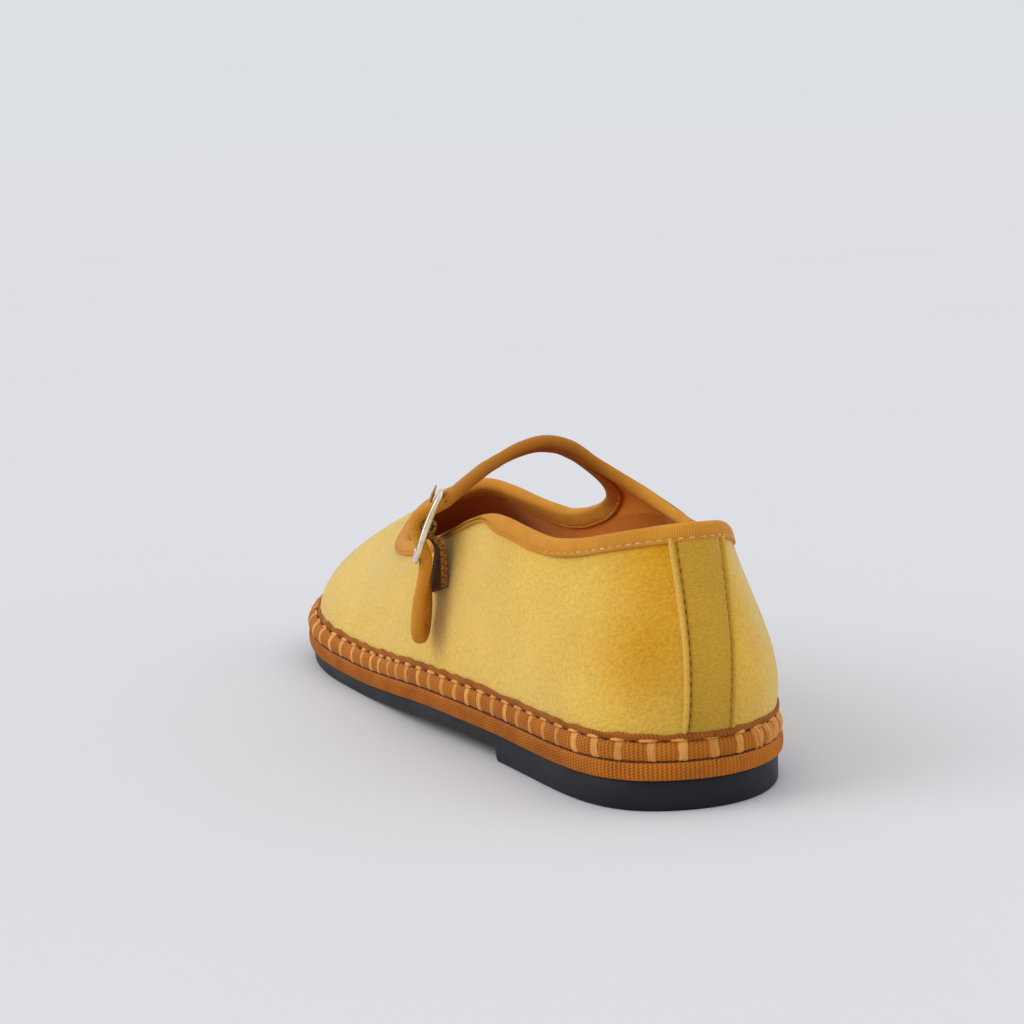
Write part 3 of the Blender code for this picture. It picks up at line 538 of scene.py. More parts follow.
def strap_path():
    """Middle line of the strap beyond its root: over the instep and through the buckle."""
    half = OPENING_WIDTH / 2
    free = np.array([
        (across * half, STRAP_CENTRE, height * STRAP_PEAK) for across, height in STRAP_LINE])
    off_plane = (free[-1] - BUCKLE_CENTRE) @ BUCKLE_ALONG
    free[:, 1] -= ramp(free[:, 0], free[0, 0], free[-1, 0]) * off_plane / BUCKLE_ALONG[1]
    last = free[-1] - BUCKLE_CENTRE
    last_down = last @ BUCKLE_DOWN + BAR_SPACING
    last_out = last @ BUCKLE_OUT
    entry = math.atan2(-last_out, -last_down)
    entry -= math.asin(UNDER_BAR / math.hypot(last_down, last_out))
    wave = math.asin((UNDER_BAR + OVER_BAR) / BAR_SPACING)
    right = math.pi / 2
    path = np.concatenate([
        arc(-BAR_SPACING, UNDER_BAR, entry - right, wave - right, 3),
        arc(0.0, OVER_BAR, wave + right, right - wave, 8),
        arc(BAR_SPACING, UNDER_BAR, -wave - right, -right + HANG_TURN, 3),
    ])
    down, out = path[-1]
    drop = (buckle_point(down, out)[2] - STRAP_END_HEIGHT) / -BUCKLE_DOWN[2]
    falls = drop * np.arange(1, HANG_ROWS + 1) / HANG_ROWS
    hang = np.stack([down + falls, out + falls * math.tan(HANG_TURN)], -1)
    line = np.concatenate([upsample(free, 2), buckle_point(*path.T), buckle_point(*hang.T)])
    return line, len(line) - len(path) - HANG_ROWS


def strap_rows():
    """Rows of points across the strap, front edge first, from the topline to the rounded tip."""
    turns = np.linspace(*STRAP_ROOT, ROOT_COLUMNS)
    spread = np.linspace(-1.0, 1.0, len(turns))[:, None]
    half = STRAP_WIDTH / 2 - TAPE_GAP - TAPE
    line, buckle_row = strap_path()
    last = len(line) - 1
    rows = []
    for i, point in enumerate(line):
        ahead = unit(line[min(i + 1, last)] - line[max(i - 1, 0)])
        level = vec(0, 1, 0)
        level = unit(level - ahead * (level @ ahead))
        twist = STRAP_TWIST * ramp(i, -2, buckle_row / 2)
        free = level * math.cos(twist) + np.cross(ahead, level) * math.sin(twist)
        held = ramp(i, buckle_row - 4, buckle_row - 1)
        side = between(free, BUCKLE_ALONG, held)
        side = unit(side - ahead * (side @ ahead))
        turned = END_TWIST * ramp(i, last - HANG_ROWS, last - 1)
        side = side * math.cos(turned) + np.cross(ahead, side) * math.sin(turned)
        rows.append(point + side * half * spread)
    for degrees in (25, 50, 72):
        angle = math.radians(degrees)
        rows.append(line[-1] + half * (ahead * math.sin(angle) + side * math.cos(angle) * spread))
    first_way = unit(line[1] - line[0])
    edge = np.abs(spread)
    along = unit(rib_top(turns + 0.01) - rib_top(turns - 0.01))
    up = rib_end(turns)
    start = unit(up * (1 - 0.84 * edge) - along * edge * np.sign(spread))
    begin = rib_top(turns) - up * GAP
    near_front = ((1 - spread) / 2) ** ROOT_BLEND
    root = []
    for i in range(ROOT_ROWS):
        row = hermite(begin, start * ROOT_PULL, rows[0], first_way * ROOT_PULL, i / ROOT_ROWS)
        front = hermite(begin[0], start[0] * ROOT_FRONT_PULL[0], rows[0][0],
                        first_way * ROOT_FRONT_PULL[1], i / ROOT_ROWS)
        root.append(row + (front - row[0]) * near_front)
    return np.array(root + rows)


# Meshes


def add_piece(name, verts, faces, materials, slot, replaces=(), face_material=None, uv=None,
              tone=None):
    """A named piece from points and faces, with an optional tape map in millimetres."""
    mesh = bpy.data.meshes.new(name)
    mesh.from_pydata(np.asarray(verts).reshape(-1, 3).tolist(), [], faces)
    for made in materials:
        mesh.materials.append(made)
    if face_material is not None:
        mesh.polygons.foreach_set("material_index", np.asarray(face_material, np.int32))
    mesh.shade_smooth()
    if uv is not None:
        layer = mesh.uv_layers.new(name="tape")
        corners = np.zeros(len(mesh.loops), np.int32)
        mesh.loops.foreach_get("vertex_index", corners)
        layer.data.foreach_set("uv", np.asarray(uv, float).reshape(-1, 2)[corners].ravel())
    if tone is not None:
        layer = mesh.attributes.new("tone", "FLOAT", "POINT")
        layer.data.foreach_set("value", np.asarray(tone, float).ravel())
    mesh.update()
    piece = bpy.data.objects.new(name, mesh)
    bpy.context.scene.collection.objects.link(piece)
    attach(piece, "root")
    if replaces:
        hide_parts(*replaces)
    return piece


def quads(rows, columns, closed_rows=False, closed_columns=False, flip=False, start=0):
    """Faces between the points of a grid that is stored row by row."""
    i = np.arange(rows if closed_rows else rows - 1)[:, None]
    j = np.arange(columns if closed_columns else columns - 1)[None, :]
    right = (j + 1) % columns
    below = (i + 1) % rows
    made = np.stack(np.broadcast_arrays(
        i * columns + j, i * columns + right, below * columns + right, below * columns + j), -1)
    made = made.reshape(-1, 4) + start
    return (made[:, ::-1] if flip else made).tolist()


def add_ring(name, grid, look, slot, replaces=(), flip=True, **maps):
    """A piece from a grid of points that closes on itself both ways."""
    faces = quads(*grid.shape[:2], closed_rows=True, closed_columns=True, flip=flip)
    return add_piece(name, grid, faces, [look], slot, replaces, **maps)


def moved(faces, start):
    return [[corner + start for corner in face] for face in faces]


def tube_faces(rings, sides, flip=False, start=0):
    """Faces of a tube with both ends closed."""
    end = start + rings * sides
    return quads(rings, sides, closed_columns=True, flip=flip, start=start) + [
        list(range(start, start + sides)), list(range(end - 1, end - sides - 1, -1))]


def shell(outer, inner, closed=True):
    """Points and faces of a closed sheet between two grids; also the count of outer faces."""
    rows, columns = outer.shape[:2]
    size = rows * columns
    verts = np.concatenate([outer.reshape(-1, 3), inner.reshape(-1, 3)])
    front = quads(rows, columns, closed_columns=closed, flip=True)
    back = quads(rows, columns, closed_columns=closed, start=size)
    rim = []
    steps = columns if closed else columns - 1
    top = (rows - 1) * columns
    for j in range(steps):
        right = (j + 1) % columns
        rim.append((j, right, size + right, size + j))
        rim.append((top + j, size + top + j, size + top + right, top + right))
    if not closed:
        for i in range(rows - 1):
            a = i * columns
            b = a + columns
            rim.append((a, size + a, size + b, b))
            a += columns - 1
            b += columns - 1
            rim.append((a, b, size + b, size + a))
    return verts, front + back + rim, len(front)


def capsules(places, tangents, normals, lengths, radius, flat=1.0, arch=0.0):
    """Points and faces of many short rounded threads."""
    rings, sides = 7, 6
    along = -np.cos(np.linspace(0.12, math.pi - 0.12, rings))
    thick = np.sqrt(1 - along ** 4)
    angle = even_turns(sides) * 2 * math.pi
    across = unit(np.cross(tangents, normals))
    count = len(places)
    lengths = np.broadcast_to(lengths, (count,))
    reach = lengths[:, None, None] / 2 * along[None, :, None]
    lift = arch * (1 - along ** 2)[None, :, None]
    lift = lift + radius * flat * (thick[:, None] * np.sin(angle)[None, :])[None]
    wide = radius * (thick[:, None] * np.cos(angle)[None, :])[None]
    body = places[:, None, None, :]
    for way, amount in ((tangents, reach), (normals, lift), (across, wide)):
        body = body + way[:, None, None, :] * amount[..., None]
    one = tube_faces(rings, sides, flip=True)
    faces = [face for k in range(count) for face in moved(one, k * rings * sides)]
    return body.reshape(-1, 3), faces


def sweep_tube(line, radii, sides, side_hint):
    """Grid of points of a rod along a line, one row for each place."""
    tangent = unit(np.gradient(line, axis=0))
    across = unit(side_hint - tangent * (tangent @ side_hint)[:, None])
    other = np.cross(tangent, across)
    angle = (even_turns(sides) * 2 * math.pi)[None, :, None]
    radii = np.broadcast_to(radii, (len(line),))[:, None, None]
    return line[:, None] + radii * (
        across[:, None] * np.cos(angle) + other[:, None] * np.sin(angle))


# Materials


class Surface:
    """A node material that is built step by step."""

    def __init__(self, name, roughness=0.8, specular=0.3, metallic=0.0):
        self.material = bpy.data.materials.new(name)
        self.material.use_nodes = True
        self.tree = self.material.node_tree
        self.shader = self.tree.nodes["Principled BSDF"]
        for key, value in (("Roughness", roughness), ("Specular IOR Level", specular),
                           ("Metallic", metallic)):
            self.shader.inputs[key].default_value = value
        self.space = self.add("ShaderNodeTexCoord").outputs["Object"]
        self.bumps = []

    def add(self, kind, **settings):
        node = self.tree.nodes.new(kind)
        for key, value in settings.items():
            setattr(node, key, value)
        return node

    def wire(self, source, target):
        if isinstance(source, tuple):
            target.default_value = (*source, 1.0)
        elif isinstance(source, (int, float)):
            target.default_value = source
        else:
            self.tree.links.new(source, target)

    def noise(self, scale, detail=3.0, roughness=0.55, stretch=None, space=None):
        node = self.add("ShaderNodeTexNoise")
        for key, value in (("Scale", scale), ("Detail", detail), ("Roughness", roughness)):
            node.inputs[key].default_value = value
        source = space or self.space
        if stretch:
            mapping = self.add("ShaderNodeMapping")
            mapping.inputs["Scale"].default_value = stretch
            self.wire(source, mapping.inputs["Vector"])
            source = mapping.outputs["Vector"]
        self.wire(source, node.inputs["Vector"])
        return node.outputs["Fac"]

    def math(self, kind, first, second=0.0):
        node = self.add("ShaderNodeMath", operation=kind)
        self.wire(first, node.inputs[0])
        self.wire(second, node.inputs[1])
        return node.outputs[0]

    def total(self, *parts):
        """Sum of values, each with its weight."""
        result = None
        for value, weight in parts:
            part = self.math("MULTIPLY", value, weight)
            result = part if result is None else self.math("ADD", result, part)
        return result

    def grain(self, reach, *settings):
        """Noise whose values within a reach of the middle are spread over 0 to 1."""
        return self.spread(self.noise(*settings), 0.5 - reach, 0.5 + reach)

    def spread(self, value, low, high, to_low=0.0, to_high=1.0):
        node = self.add("ShaderNodeMapRange")
        self.wire(value, node.inputs["Value"])
        for key, number in zip(("From Min", "From Max", "To Min", "To Max"),
                               (low, high, to_low, to_high)):
            node.inputs[key].default_value = number
        return node.outputs["Result"]

    def blend(self, share, first, second):
        node = self.add("ShaderNodeMix", data_type="RGBA")
        self.wire(share, node.inputs["Factor"])
        self.wire(first, node.inputs["A"])
        self.wire(second, node.inputs["B"])
        return node.outputs["Result"]

    def colour(self, value):
        self.wire(value, self.shader.inputs["Base Color"])

    def tape_uv(self):
        """Tape map in millimetres: first along, then across."""
        return self.add("ShaderNodeUVMap", uv_map="tape").outputs["UV"]

    def axis(self, source, index):
        node = self.add("ShaderNodeSeparateXYZ")
        self.wire(source, node.inputs[0])
        return node.outputs[index]

    def tone(self):
        return self.add("ShaderNodeAttribute", attribute_name="tone").outputs["Fac"]

    def bump(self, height, distance, strength=1.0):
        node = self.add("ShaderNodeBump")
        node.inputs["Distance"].default_value = distance
        node.inputs["Strength"].default_value = strength
        self.wire(height, node.inputs["Height"])
        if self.bumps:
            self.wire(self.bumps[-1], node.inputs["Normal"])
        self.bumps.append(node.outputs["Normal"])
        self.wire(node.outputs["Normal"], self.shader.inputs["Normal"])

    def sheen(self, weight, roughness, tint):
        self.shader.inputs["Sheen Weight"].default_value = weight
        self.shader.inputs["Sheen Roughness"].default_value = roughness
        self.shader.inputs["Sheen Tint"].default_value = (*tint, 1.0)


def rgb(red, green, blue):
    """Linear colour from display values."""
    return tuple(
        c / 12.92 if c <= 0.04045 else ((c + 0.055) / 1.055) ** 2.4
        for c in (red / 255, green / 255, blue / 255))


def scaled(colour, factor):
    return tuple(part * factor for part in colour)


def velvet(name, light, deep, sideways=False):
    """Pile from its deep colour at tone 0 to its light colour at tone 1; tone holds painted shade
    and painted highlight, with some random nap tone.
    """
    made = Surface(name, roughness=0.85, specular=0.15)
    patches = made.grain(0.16, 30.0, 2.0)
    stretch = (1.0, 1.0, 2.4) if sideways else (1.0, 0.7, 1.1)
    pile = made.grain(0.18, 1050.0, 2.0, 0.6, stretch)
    fine = made.grain(0.20, 2400.0, 2.0, 0.6)
    share = made.total((patches, 0.30), (pile, 0.42), (fine, 0.28))
    tone = made.tone()
    shade = made.blend(tone, rgb(*scaled(deep, 0.82)), rgb(*scaled(light, 0.86)))
    lit = made.blend(tone, rgb(*scaled(deep, 1.04)), rgb(*scaled(light, 1.03)))
    made.colour(made.blend(share, shade, lit))
    made.bump(pile, 0.00026, 0.7)
    made.bump(fine, 0.00008, 0.6)
    made.sheen(1.0, 0.38, (1.0, 0.86, 0.50))
    return made.material


def suede(name, light, dark, nap=900.0):
    made = Surface(name, roughness=0.92, specular=0.12)
    fine = made.grain(0.20, nap, 4.0, 0.65)
    share = made.total((made.grain(0.15, 60.0, 4.0), 0.6), (fine, 0.4))
    made.colour(made.blend(share, dark, light))
    made.bump(fine, 0.00012, 0.5)
    made.sheen(0.25, 0.5, (1.0, 0.8, 0.5))
    return made.material


def grosgrain(name, light, dark, pitch, slant=0.0, depth=0.00009, threads=0.32, painted_shade_by_tone=False):
    """Ribbed tape: ribs across its length and fine threads over them."""
    made = Surface(name, roughness=0.72, specular=0.25)
    along, across = (made.axis(made.tape_uv(), index) for index in (0, 1))
    phase = made.math("ADD", along, made.math("MULTIPLY", across, slant)) if slant else along
    turn = made.math("MULTIPLY", phase, 2 * math.pi / pitch)
    rib = made.spread(made.math("SINE", turn), -1.0, 1.0)
    thread_turn = made.math("MULTIPLY", across, 2 * math.pi / threads)
    shifted = made.math("ADD", thread_turn, made.math("MULTIPLY", turn, 0.5))
    thread = made.spread(made.math("SINE", shifted), -1.0, 1.0)
    share = made.total((rib, 0.42), (made.grain(0.15, 120.0, 3.0), 0.22), (thread, 0.36))
    # Painted shade: tone darkens the tape, and its dark colour is deepened, where a piece paints
    # shade into it.
    if painted_shade_by_tone:
        share = made.math("MULTIPLY", share, made.tone())
        dark = scaled(dark, 0.8)
    made.colour(made.blend(share, dark, light))
    made.bump(rib, depth)
    made.bump(thread, depth * 0.5)
    made.sheen(0.06, 0.5, (1.0, 0.8, 0.5))
    return made.material


def raffia(name, light, dark):
    """Flat fibrous strips, each a little different in tone."""
    made = Surface(name, roughness=0.6, specular=0.3)
    fibres = made.grain(0.18, 1.0, 4.0, 0.6, (2.2, 0.2, 1.0), made.tape_uv())
    made.colour(made.blend(made.total((fibres, 0.55), (made.tone(), 0.45)), dark, light))
    made.bump(fibres, 0.00012, 0.9)
    return made.material


def thread(name, light, dark, plain=None):
    """Sewing thread; with a plain colour, its tone fades it into the cloth that it holds."""
    made = Surface(name, roughness=0.65, specular=0.3)
    fibre = made.blend(made.grain(0.15, 700.0, 3.0), dark, light)
    if plain:
        fibre = made.blend(made.tone(), plain, fibre)
    made.colour(fibre)
    made.bump(made.noise(5200.0, 2.0), 0.00004, 0.8)
    return made.material


def rubber(name, colour, dusty, tread=False):
    made = Surface(name, roughness=0.55, specular=0.32)
    fine = made.grain(0.20, 1900.0, 4.0, 0.6)
    dust = made.spread(made.noise(42.0, 5.0, 0.62), 0.42, 0.72)
    made.colour(made.blend(dust, colour, dusty))
    made.wire(made.spread(dust, 0.0, 1.0, 0.5, 0.68), made.shader.inputs["Roughness"])
    made.bump(fine, 0.00005, 0.45)
    if tread:
        x, y = (made.axis(made.space, index) for index in (0, 1))
        zigzag = made.math("SINE", made.math("MULTIPLY", x, 2 * math.pi / TREAD_WAVE))
        ridge = made.math("SINE", made.total((zigzag, 1.3), (y, 2 * math.pi / TREAD_PITCH)))
        made.bump(made.spread(ridge, -0.3, 0.3), 0.0005)
    return made.material


def brushed_metal(name, light, dark):
    made = Surface(name, roughness=0.24, specular=0.5, metallic=1.0)
    grain = made.grain(0.20, 900.0, 3.0, 0.6, (0.15, 3.0, 3.0))
    made.colour(made.blend(made.grain(0.15, 260.0, 3.0), dark, light))
    made.wire(made.spread(grain, 0.0, 1.0, 0.16, 0.34), made.shader.inputs["Roughness"])
    made.bump(grain, 0.00002, 0.4)
    return made.material


def studio(name, colour):
    made = Surface(name, roughness=0.9, specular=0.1)
    made.colour(made.blend(made.grain(0.20, 3.0, 2.0), colour, scaled(colour, 0.985)))
    return made.material


Looks = namedtuple("Looks", (
    "velvet backstay lining strap_lining sock binding welt frill band raffia pale_thread "
    "tan_thread dark_thread deep_thread rubber tread metal pin nap nap_edge"))


def make_looks():
    return Looks(
        # velvet_gold's deep colour is the painted shade that the upper's tone puts beside the
        # backstay seam.
        velvet=velvet("velvet_gold", (242, 197, 85), (226, 161, 33)),
        # The backstay's light colour shows as painted highlight on its ridges and its deep colour
        # as painted shade in its grooves.
        backstay=velvet("velvet_backstay", (236, 186, 70), (204, 152, 42), sideways=True),
        lining=suede("lining_suede", rgb(220, 128, 28), rgb(190, 102, 16)),
        # Painted light: a lighter copy of the lining suede for the strap's underside, to offset
        # the shade it sits in.
        strap_lining=suede("strap_lining_suede", rgb(244, 156, 44), rgb(218, 130, 28)),
        sock=suede("sock_suede", rgb(196, 118, 40), rgb(156, 86, 22), 500.0),
        binding=grosgrain("binding_ribs", rgb(240, 166, 48), rgb(200, 122, 24), 0.50, painted_shade_by_tone=True),
        welt=grosgrain("welt_ribs", rgb(210, 122, 21), rgb(132, 66, 5), RIB_PITCH, depth=0.00005,
                       threads=0.72),
        frill=grosgrain("frill_ribs", rgb(196, 110, 22), rgb(116, 56, 6), 1.05, 0.45, 0.0001),
        band=grosgrain("band_ribs", rgb(212, 122, 16), rgb(126, 61, 3), RIB_PITCH, depth=0.00005,
                       threads=0.72),
        raffia=raffia("raffia_strips", rgb(246, 180, 92), rgb(184, 108, 34)),
        pale_thread=thread("binding_thread", rgb(236, 200, 150), rgb(206, 156, 100),
                           rgb(200, 126, 34)),
        tan_thread=thread("tan_thread", rgb(232, 168, 88), rgb(204, 132, 54)),
        dark_thread=thread("dark_thread", rgb(164, 112, 34), rgb(122, 76, 20)),
        # Dark thread of the welt seam, also used as the painted shade in the needle holes.
        deep_thread=thread("deep_thread", rgb(92, 46, 20), rgb(58, 28, 14)),
        rubber=rubber("sole_rubber", rgb(11, 12, 21), rgb(19, 20, 30)),
        tread=rubber("tread_rubber", rgb(30, 30, 37), rgb(48, 48, 55), tread=True),
        metal=brushed_metal("buckle_silver", rgb(236, 228, 210), rgb(210, 198, 172)),
        pin=brushed_metal("pin_metal", rgb(200, 178, 140), rgb(150, 120, 84)),
        nap=grosgrain("tab_ribs", rgb(156, 98, 36), rgb(86, 48, 15), 0.95, depth=0.0002),
        nap_edge=grosgrain("tab_edge_ribs", rgb(186, 122, 50), rgb(104, 62, 20), 0.95,
                           depth=0.0002),
    )


# Upper, backstay and lining


def make_upper(looks):
    columns = 560
    turns = even_turns(columns)
    rises = np.concatenate([np.linspace(0, 1, 7)[:-1], np.linspace(1, 2, 58)])
    middle = wall(turns[None, :], rises[:, None])
    normal = grid_normals(middle)
    above = np.maximum(middle[..., 2] - middle[6:7, :, 2], 0.0)
    pucker = np.cos(stitch_phase(turns) * 2 * math.pi) * np.exp(-above / PUCKER_REACH) * PUCKER
    soft = soft_noise(middle, 38.0) * SOFT_SWELL * ramp(above, 0.002, 0.012)
    slim = toe_inset(turns) * np.exp(-above / SLIM_REACH) * TOE_SLIMMING
    outer = middle + normal * (WALL / 2 + pucker + soft - slim)[..., None]
    inner = middle - normal * (WALL / 2 - soft)[..., None]
    verts, faces, front = shell(outer, inner)
    index = np.ones(len(faces), int)
    index[:front] = 0
    # Painted shade: the velvet is darkened each side of the backstay seam, more so higher up,
    # where less light falls on the heel; the noise below adds random nap tone.
    painted_shade_beside_seam = hump(turns, 0.026, 0.030) + 0.5 * hump(turns, 0.975, 0.016)
    tone = 1 - painted_shade_beside_seam * (0.35 + 0.65 * ramp(above, 0.0, 0.022))
    tone = np.clip(tone + soft_noise(middle, 55.0, 4.4) * 0.35, 0.0, 1.0)
    add_piece("velvet_upper", verts, faces, [looks.velvet, looks.lining], "velvet", ["upper"],
              index, tone=np.concatenate([tone, tone]))


def backstay_frame(rows, columns):
    """Turns and rises of the backstay's grid, even in width from top to bottom."""
    share = np.linspace(0, 1, rows)
    width = np.linspace(-1, 1, columns)
    rise = 1.0 + share
    middle_turn = np.interp(share, (0.0, 0.5, 1.0), (0.0014, -0.0002, 0.0003))[:, None]
    wide = np.interp(share, (0.0, 0.5, 1.0), (1.0, 1.0, 0.91))
    measure = wall(np.full(rows, 0.01), rise) - wall(np.full(rows, -0.01), rise)
    half_turn = wide * BACKSTAY_WIDTH / 2 * 0.02 / np.linalg.norm(measure, axis=-1)
    turn = middle_turn + half_turn[:, None] * width[None, :]
    foot = edge_point(turn, 0.0, MIDSOLE_TOP + WELT_HEIGHT + 0.0012)[..., 2]
    low = rise_at_height(turn, foot)
    high = rise_at_height(turn, rib_top(turn)[..., 2] - COLLAR_TAPE_REACH + 0.0004)
    return turn, low + (high - low) * share[:, None], width


def make_backstay(looks):
    rows, columns = 90, 49
    turn, rise, width = backstay_frame(rows, columns)
    middle = wall(turn, rise)
    normal = grid_normals(middle, closed=False)
    side = np.abs(width)
    turned_edge = hump(side, 0.90, 0.065) * BACKSTAY_RIDGE
    groove = hump(side, BACKSTAY_STITCH_LINE, 0.045) * -BACKSTAY_GROOVE
    fall = np.sqrt(np.clip(1 - ((side - 0.92) / 0.08).clip(0, 1) ** 2, 0, 1))
    lift = (BACKSTAY_RAISE + turned_edge + groove + 0.00016 * (1 - side ** 2)) * fall
    tucked = 0.25 + 0.75 * ramp(np.linspace(0, 1, rows), 0.0, 0.05)
    waves = soft_noise(middle, 190.0, 3.1) * 0.00016
    rise = WALL / 2 + 0.00008 + lift * tucked[:, None] + waves
    outer = middle + normal * rise[..., None]
    inner = middle + normal * (WALL / 2 - 0.0003)
    verts, faces, _ = shell(outer, inner, closed=False)
    # Painted highlight on the turned edges and painted shade in the stitch grooves, with the flat
    # panel between.
    tone = np.interp(side, (0.0, 0.70, 0.76, 0.81, 0.86, 1.0), (0.30, 0.25, 0.0, 0.1, 1.0, 1.0))
    tone = np.broadcast_to(tone, (rows, columns)).ravel()
    add_piece("backstay_panel", verts, faces, [looks.backstay], "backstay_velvet", ["backstay"],
              tone=np.concatenate([tone, tone]))
    parts = []
    for way in (-1, 1):
        column = int(round((1 + way * BACKSTAY_STITCH_LINE) / 2 * (columns - 1)))
        line = outer[:, column]
        places, _ = even_steps(line, BACKSTAY_STITCH_PITCH)
        centre = read_at(line, places)[1:-1]
        facing = unit(read_at(normal[:, column], places)[1:-1])
        tangent = unit(np.gradient(centre, axis=0))
        parts.append(capsules(centre, tangent, facing, BACKSTAY_STITCH_LENGTH,
                              BACKSTAY_STITCH_RADIUS, 0.7, STITCH_ARCH))
    add_joined("backstay_stitches", parts, [looks.dark_thread], "backstay_velvet")


def add_joined(name, parts, materials, slot, tone=None):
    verts, faces, start = [], [], 0
    for part_verts, part_faces in parts:
        faces += moved(part_faces, start)
        verts.append(part_verts)
        start += len(part_verts)
    return add_piece(name, np.concatenate(verts), faces, materials, slot, tone=tone)


# Sole


def make_band(looks):
    columns = TAPE_RIBS * 4
    turns = even_turns(columns)
    low = OUTSOLE_THICKNESS + BAND_INSET
    high = MIDSOLE_TOP - BAND_INSET
    angle = np.linspace(-math.pi / 2, math.pi / 2, 15)
    bulge = np.abs(np.cos(angle)) ** 0.45
    height = (low + high) / 2 + (high - low) / 2 * signed_power(np.sin(angle), 0.8)
    rib = np.cos(turns * TAPE_RIBS * 2 * math.pi) * BAND_RIB * (bulge ** 2)[:, None]
    wobble = edge_noise(turns, 90.0, 7.0) * BAND_WOBBLE
    outset = (MIDSOLE_OUTSET * bulge)[:, None] + rib + wobble
    face = edge_point(turns[None, :], outset, height[:, None])
    hidden = edge_point(turns[None, :], -0.008, np.array([high - 0.0005, low + 0.0005])[:, None])
    grid = np.concatenate([face, hidden])
    add_ring("midsole_band", grid, looks.band, "ribbed_band", ["midsole"],
             uv=tape_map(grid, turns))


def tape_map(grid, turns):
    """Along and across coordinates in millimetres for a band that goes round the sole."""
    across = runs(grid[:, 0]) * 1000
    return np.stack(np.broadcast_arrays(turns * TAPE_RIBS * RIB_PITCH, across[:, None]), -1)


def welt_profile(turn, share, puff=0.0):
    """Points on the rolled strip: share 0 at the midsole seam, 1 in the groove at its top."""
    turn, share, puff = np.broadcast_arrays(turn, share, puff)
    inset = toe_inset(turn)
    swell = np.interp(share, (0.0, 0.06, 0.16, 0.35, 0.6, 0.8, 0.92, 1.0),
                      (-0.6, 0.45, 0.85, 1.05, 1.0, 0.62, 0.1, -0.9))
    outset = WELT_OUTSET * swell * (1 + inset / 2) - inset * TOE_INSET * share ** 4 + puff
    height = MIDSOLE_TOP - BAND_INSET + (WELT_HEIGHT + BAND_INSET) * np.interp(
        share, (0.0, 0.06, 0.92, 1.0), (0.0, 0.03, 1.0, 0.97))
    return edge_point(turn, outset, height)


def pinch(turn):
    """0 at each whip stitch, 1 midway between two."""
    return np.abs(np.sin(stitch_phase(turn) * math.pi))


def make_welt(looks):
    columns = TAPE_RIBS * 4
    turns = even_turns(columns)
    share = np.linspace(0.0, 1.0, 17)
    crown = np.sin(np.clip(share, 0, 1) * math.pi) ** 0.7
    rib = np.cos(turns * TAPE_RIBS * 2 * math.pi + 1.0) * WELT_RIB * crown[:, None]
    puff = (pinch(turns) ** 0.55 - 0.72) * WELT_PUFF * crown[:, None]
    crush = edge_noise(turns, 210.0, 2.0) * WELT_CRUSH * crown[:, None]
    face = welt_profile(turns[None, :], share[:, None], rib + puff + crush)
    back = -toe_inset(turns) * TOE_INSET - 0.0006
    hidden = edge_point(turns[None, :], np.stack([back, back - 0.0004]),
                        np.array([MIDSOLE_TOP + WELT_HEIGHT * 0.8, MIDSOLE_TOP + 0.0003])[:, None])
    grid = np.concatenate([face, hidden])
    add_ring("welt_strip", grid, looks.welt, "welt_tape", ["welt"], uv=tape_map(grid, turns))


def make_frill(looks):
    """Narrow ribbed roll that stands between the welt strip and the velvet."""
    columns = TAPE_RIBS * 4
    turns = even_turns(columns)
    wave = edge_noise(turns, 150.0, 5.0) * FRILL_WAVE
    wave = wave + np.cos(stitch_phase(turns) * 2 * math.pi) * 0.00014
    top = WELT_HEIGHT + FRILL_RISE + wave
    bottom = WELT_HEIGHT - 0.0001
    count = 13
    angle = np.linspace(0.0, 2 * math.pi, count, endpoint=False)
    height = (top + bottom) / 2 + (top - bottom) / 2 * np.cos(angle)[:, None]
    foot = rise_at_height(turns, edge_point(turns, 0.0, MIDSOLE_TOP + WELT_HEIGHT + 0.0001)[:, 2])
    head = rise_at_height(turns, edge_point(turns, 0.0, MIDSOLE_TOP + WELT_HEIGHT + 0.0019)[:, 2])
    anchor = wall(turns, np.ones(columns))
    leaning = wall(turns, head) - wall(turns, foot)
    normal = wall_normal(turns, np.full(columns, 1.04))
    level = edge_point(turns[None, :], 0.0, MIDSOLE_TOP + height)[..., 2]
    drift = (level - anchor[None, :, 2]) / leaning[None, :, 2]
    lean = np.clip(drift, 0, 3)[..., None] * leaning[None] * LEVEL
    rib = FRILL_RIB * np.cos(turns * TAPE_RIBS * 2 * math.pi + angle[:, None] * 1.4)
    thick = FRILL_THICKNESS + rib
    over_seam = 0.0005 * (1 - ramp(np.minimum(turns, 1 - turns), 0.010, 0.014))
    outset = WALL / 2 + 0.0003 + over_seam - toe_inset(turns) * TOE_SLIMMING
    outset = outset + thick * np.sin(angle)[:, None]
    grid = anchor[None] * LEVEL + lean + normal[None] * LEVEL * outset[..., None]
    grid[..., 2] = level
    add_ring("welt_frill", grid, looks.frill, "welt_tape", flip=False, uv=tape_map(grid, turns))


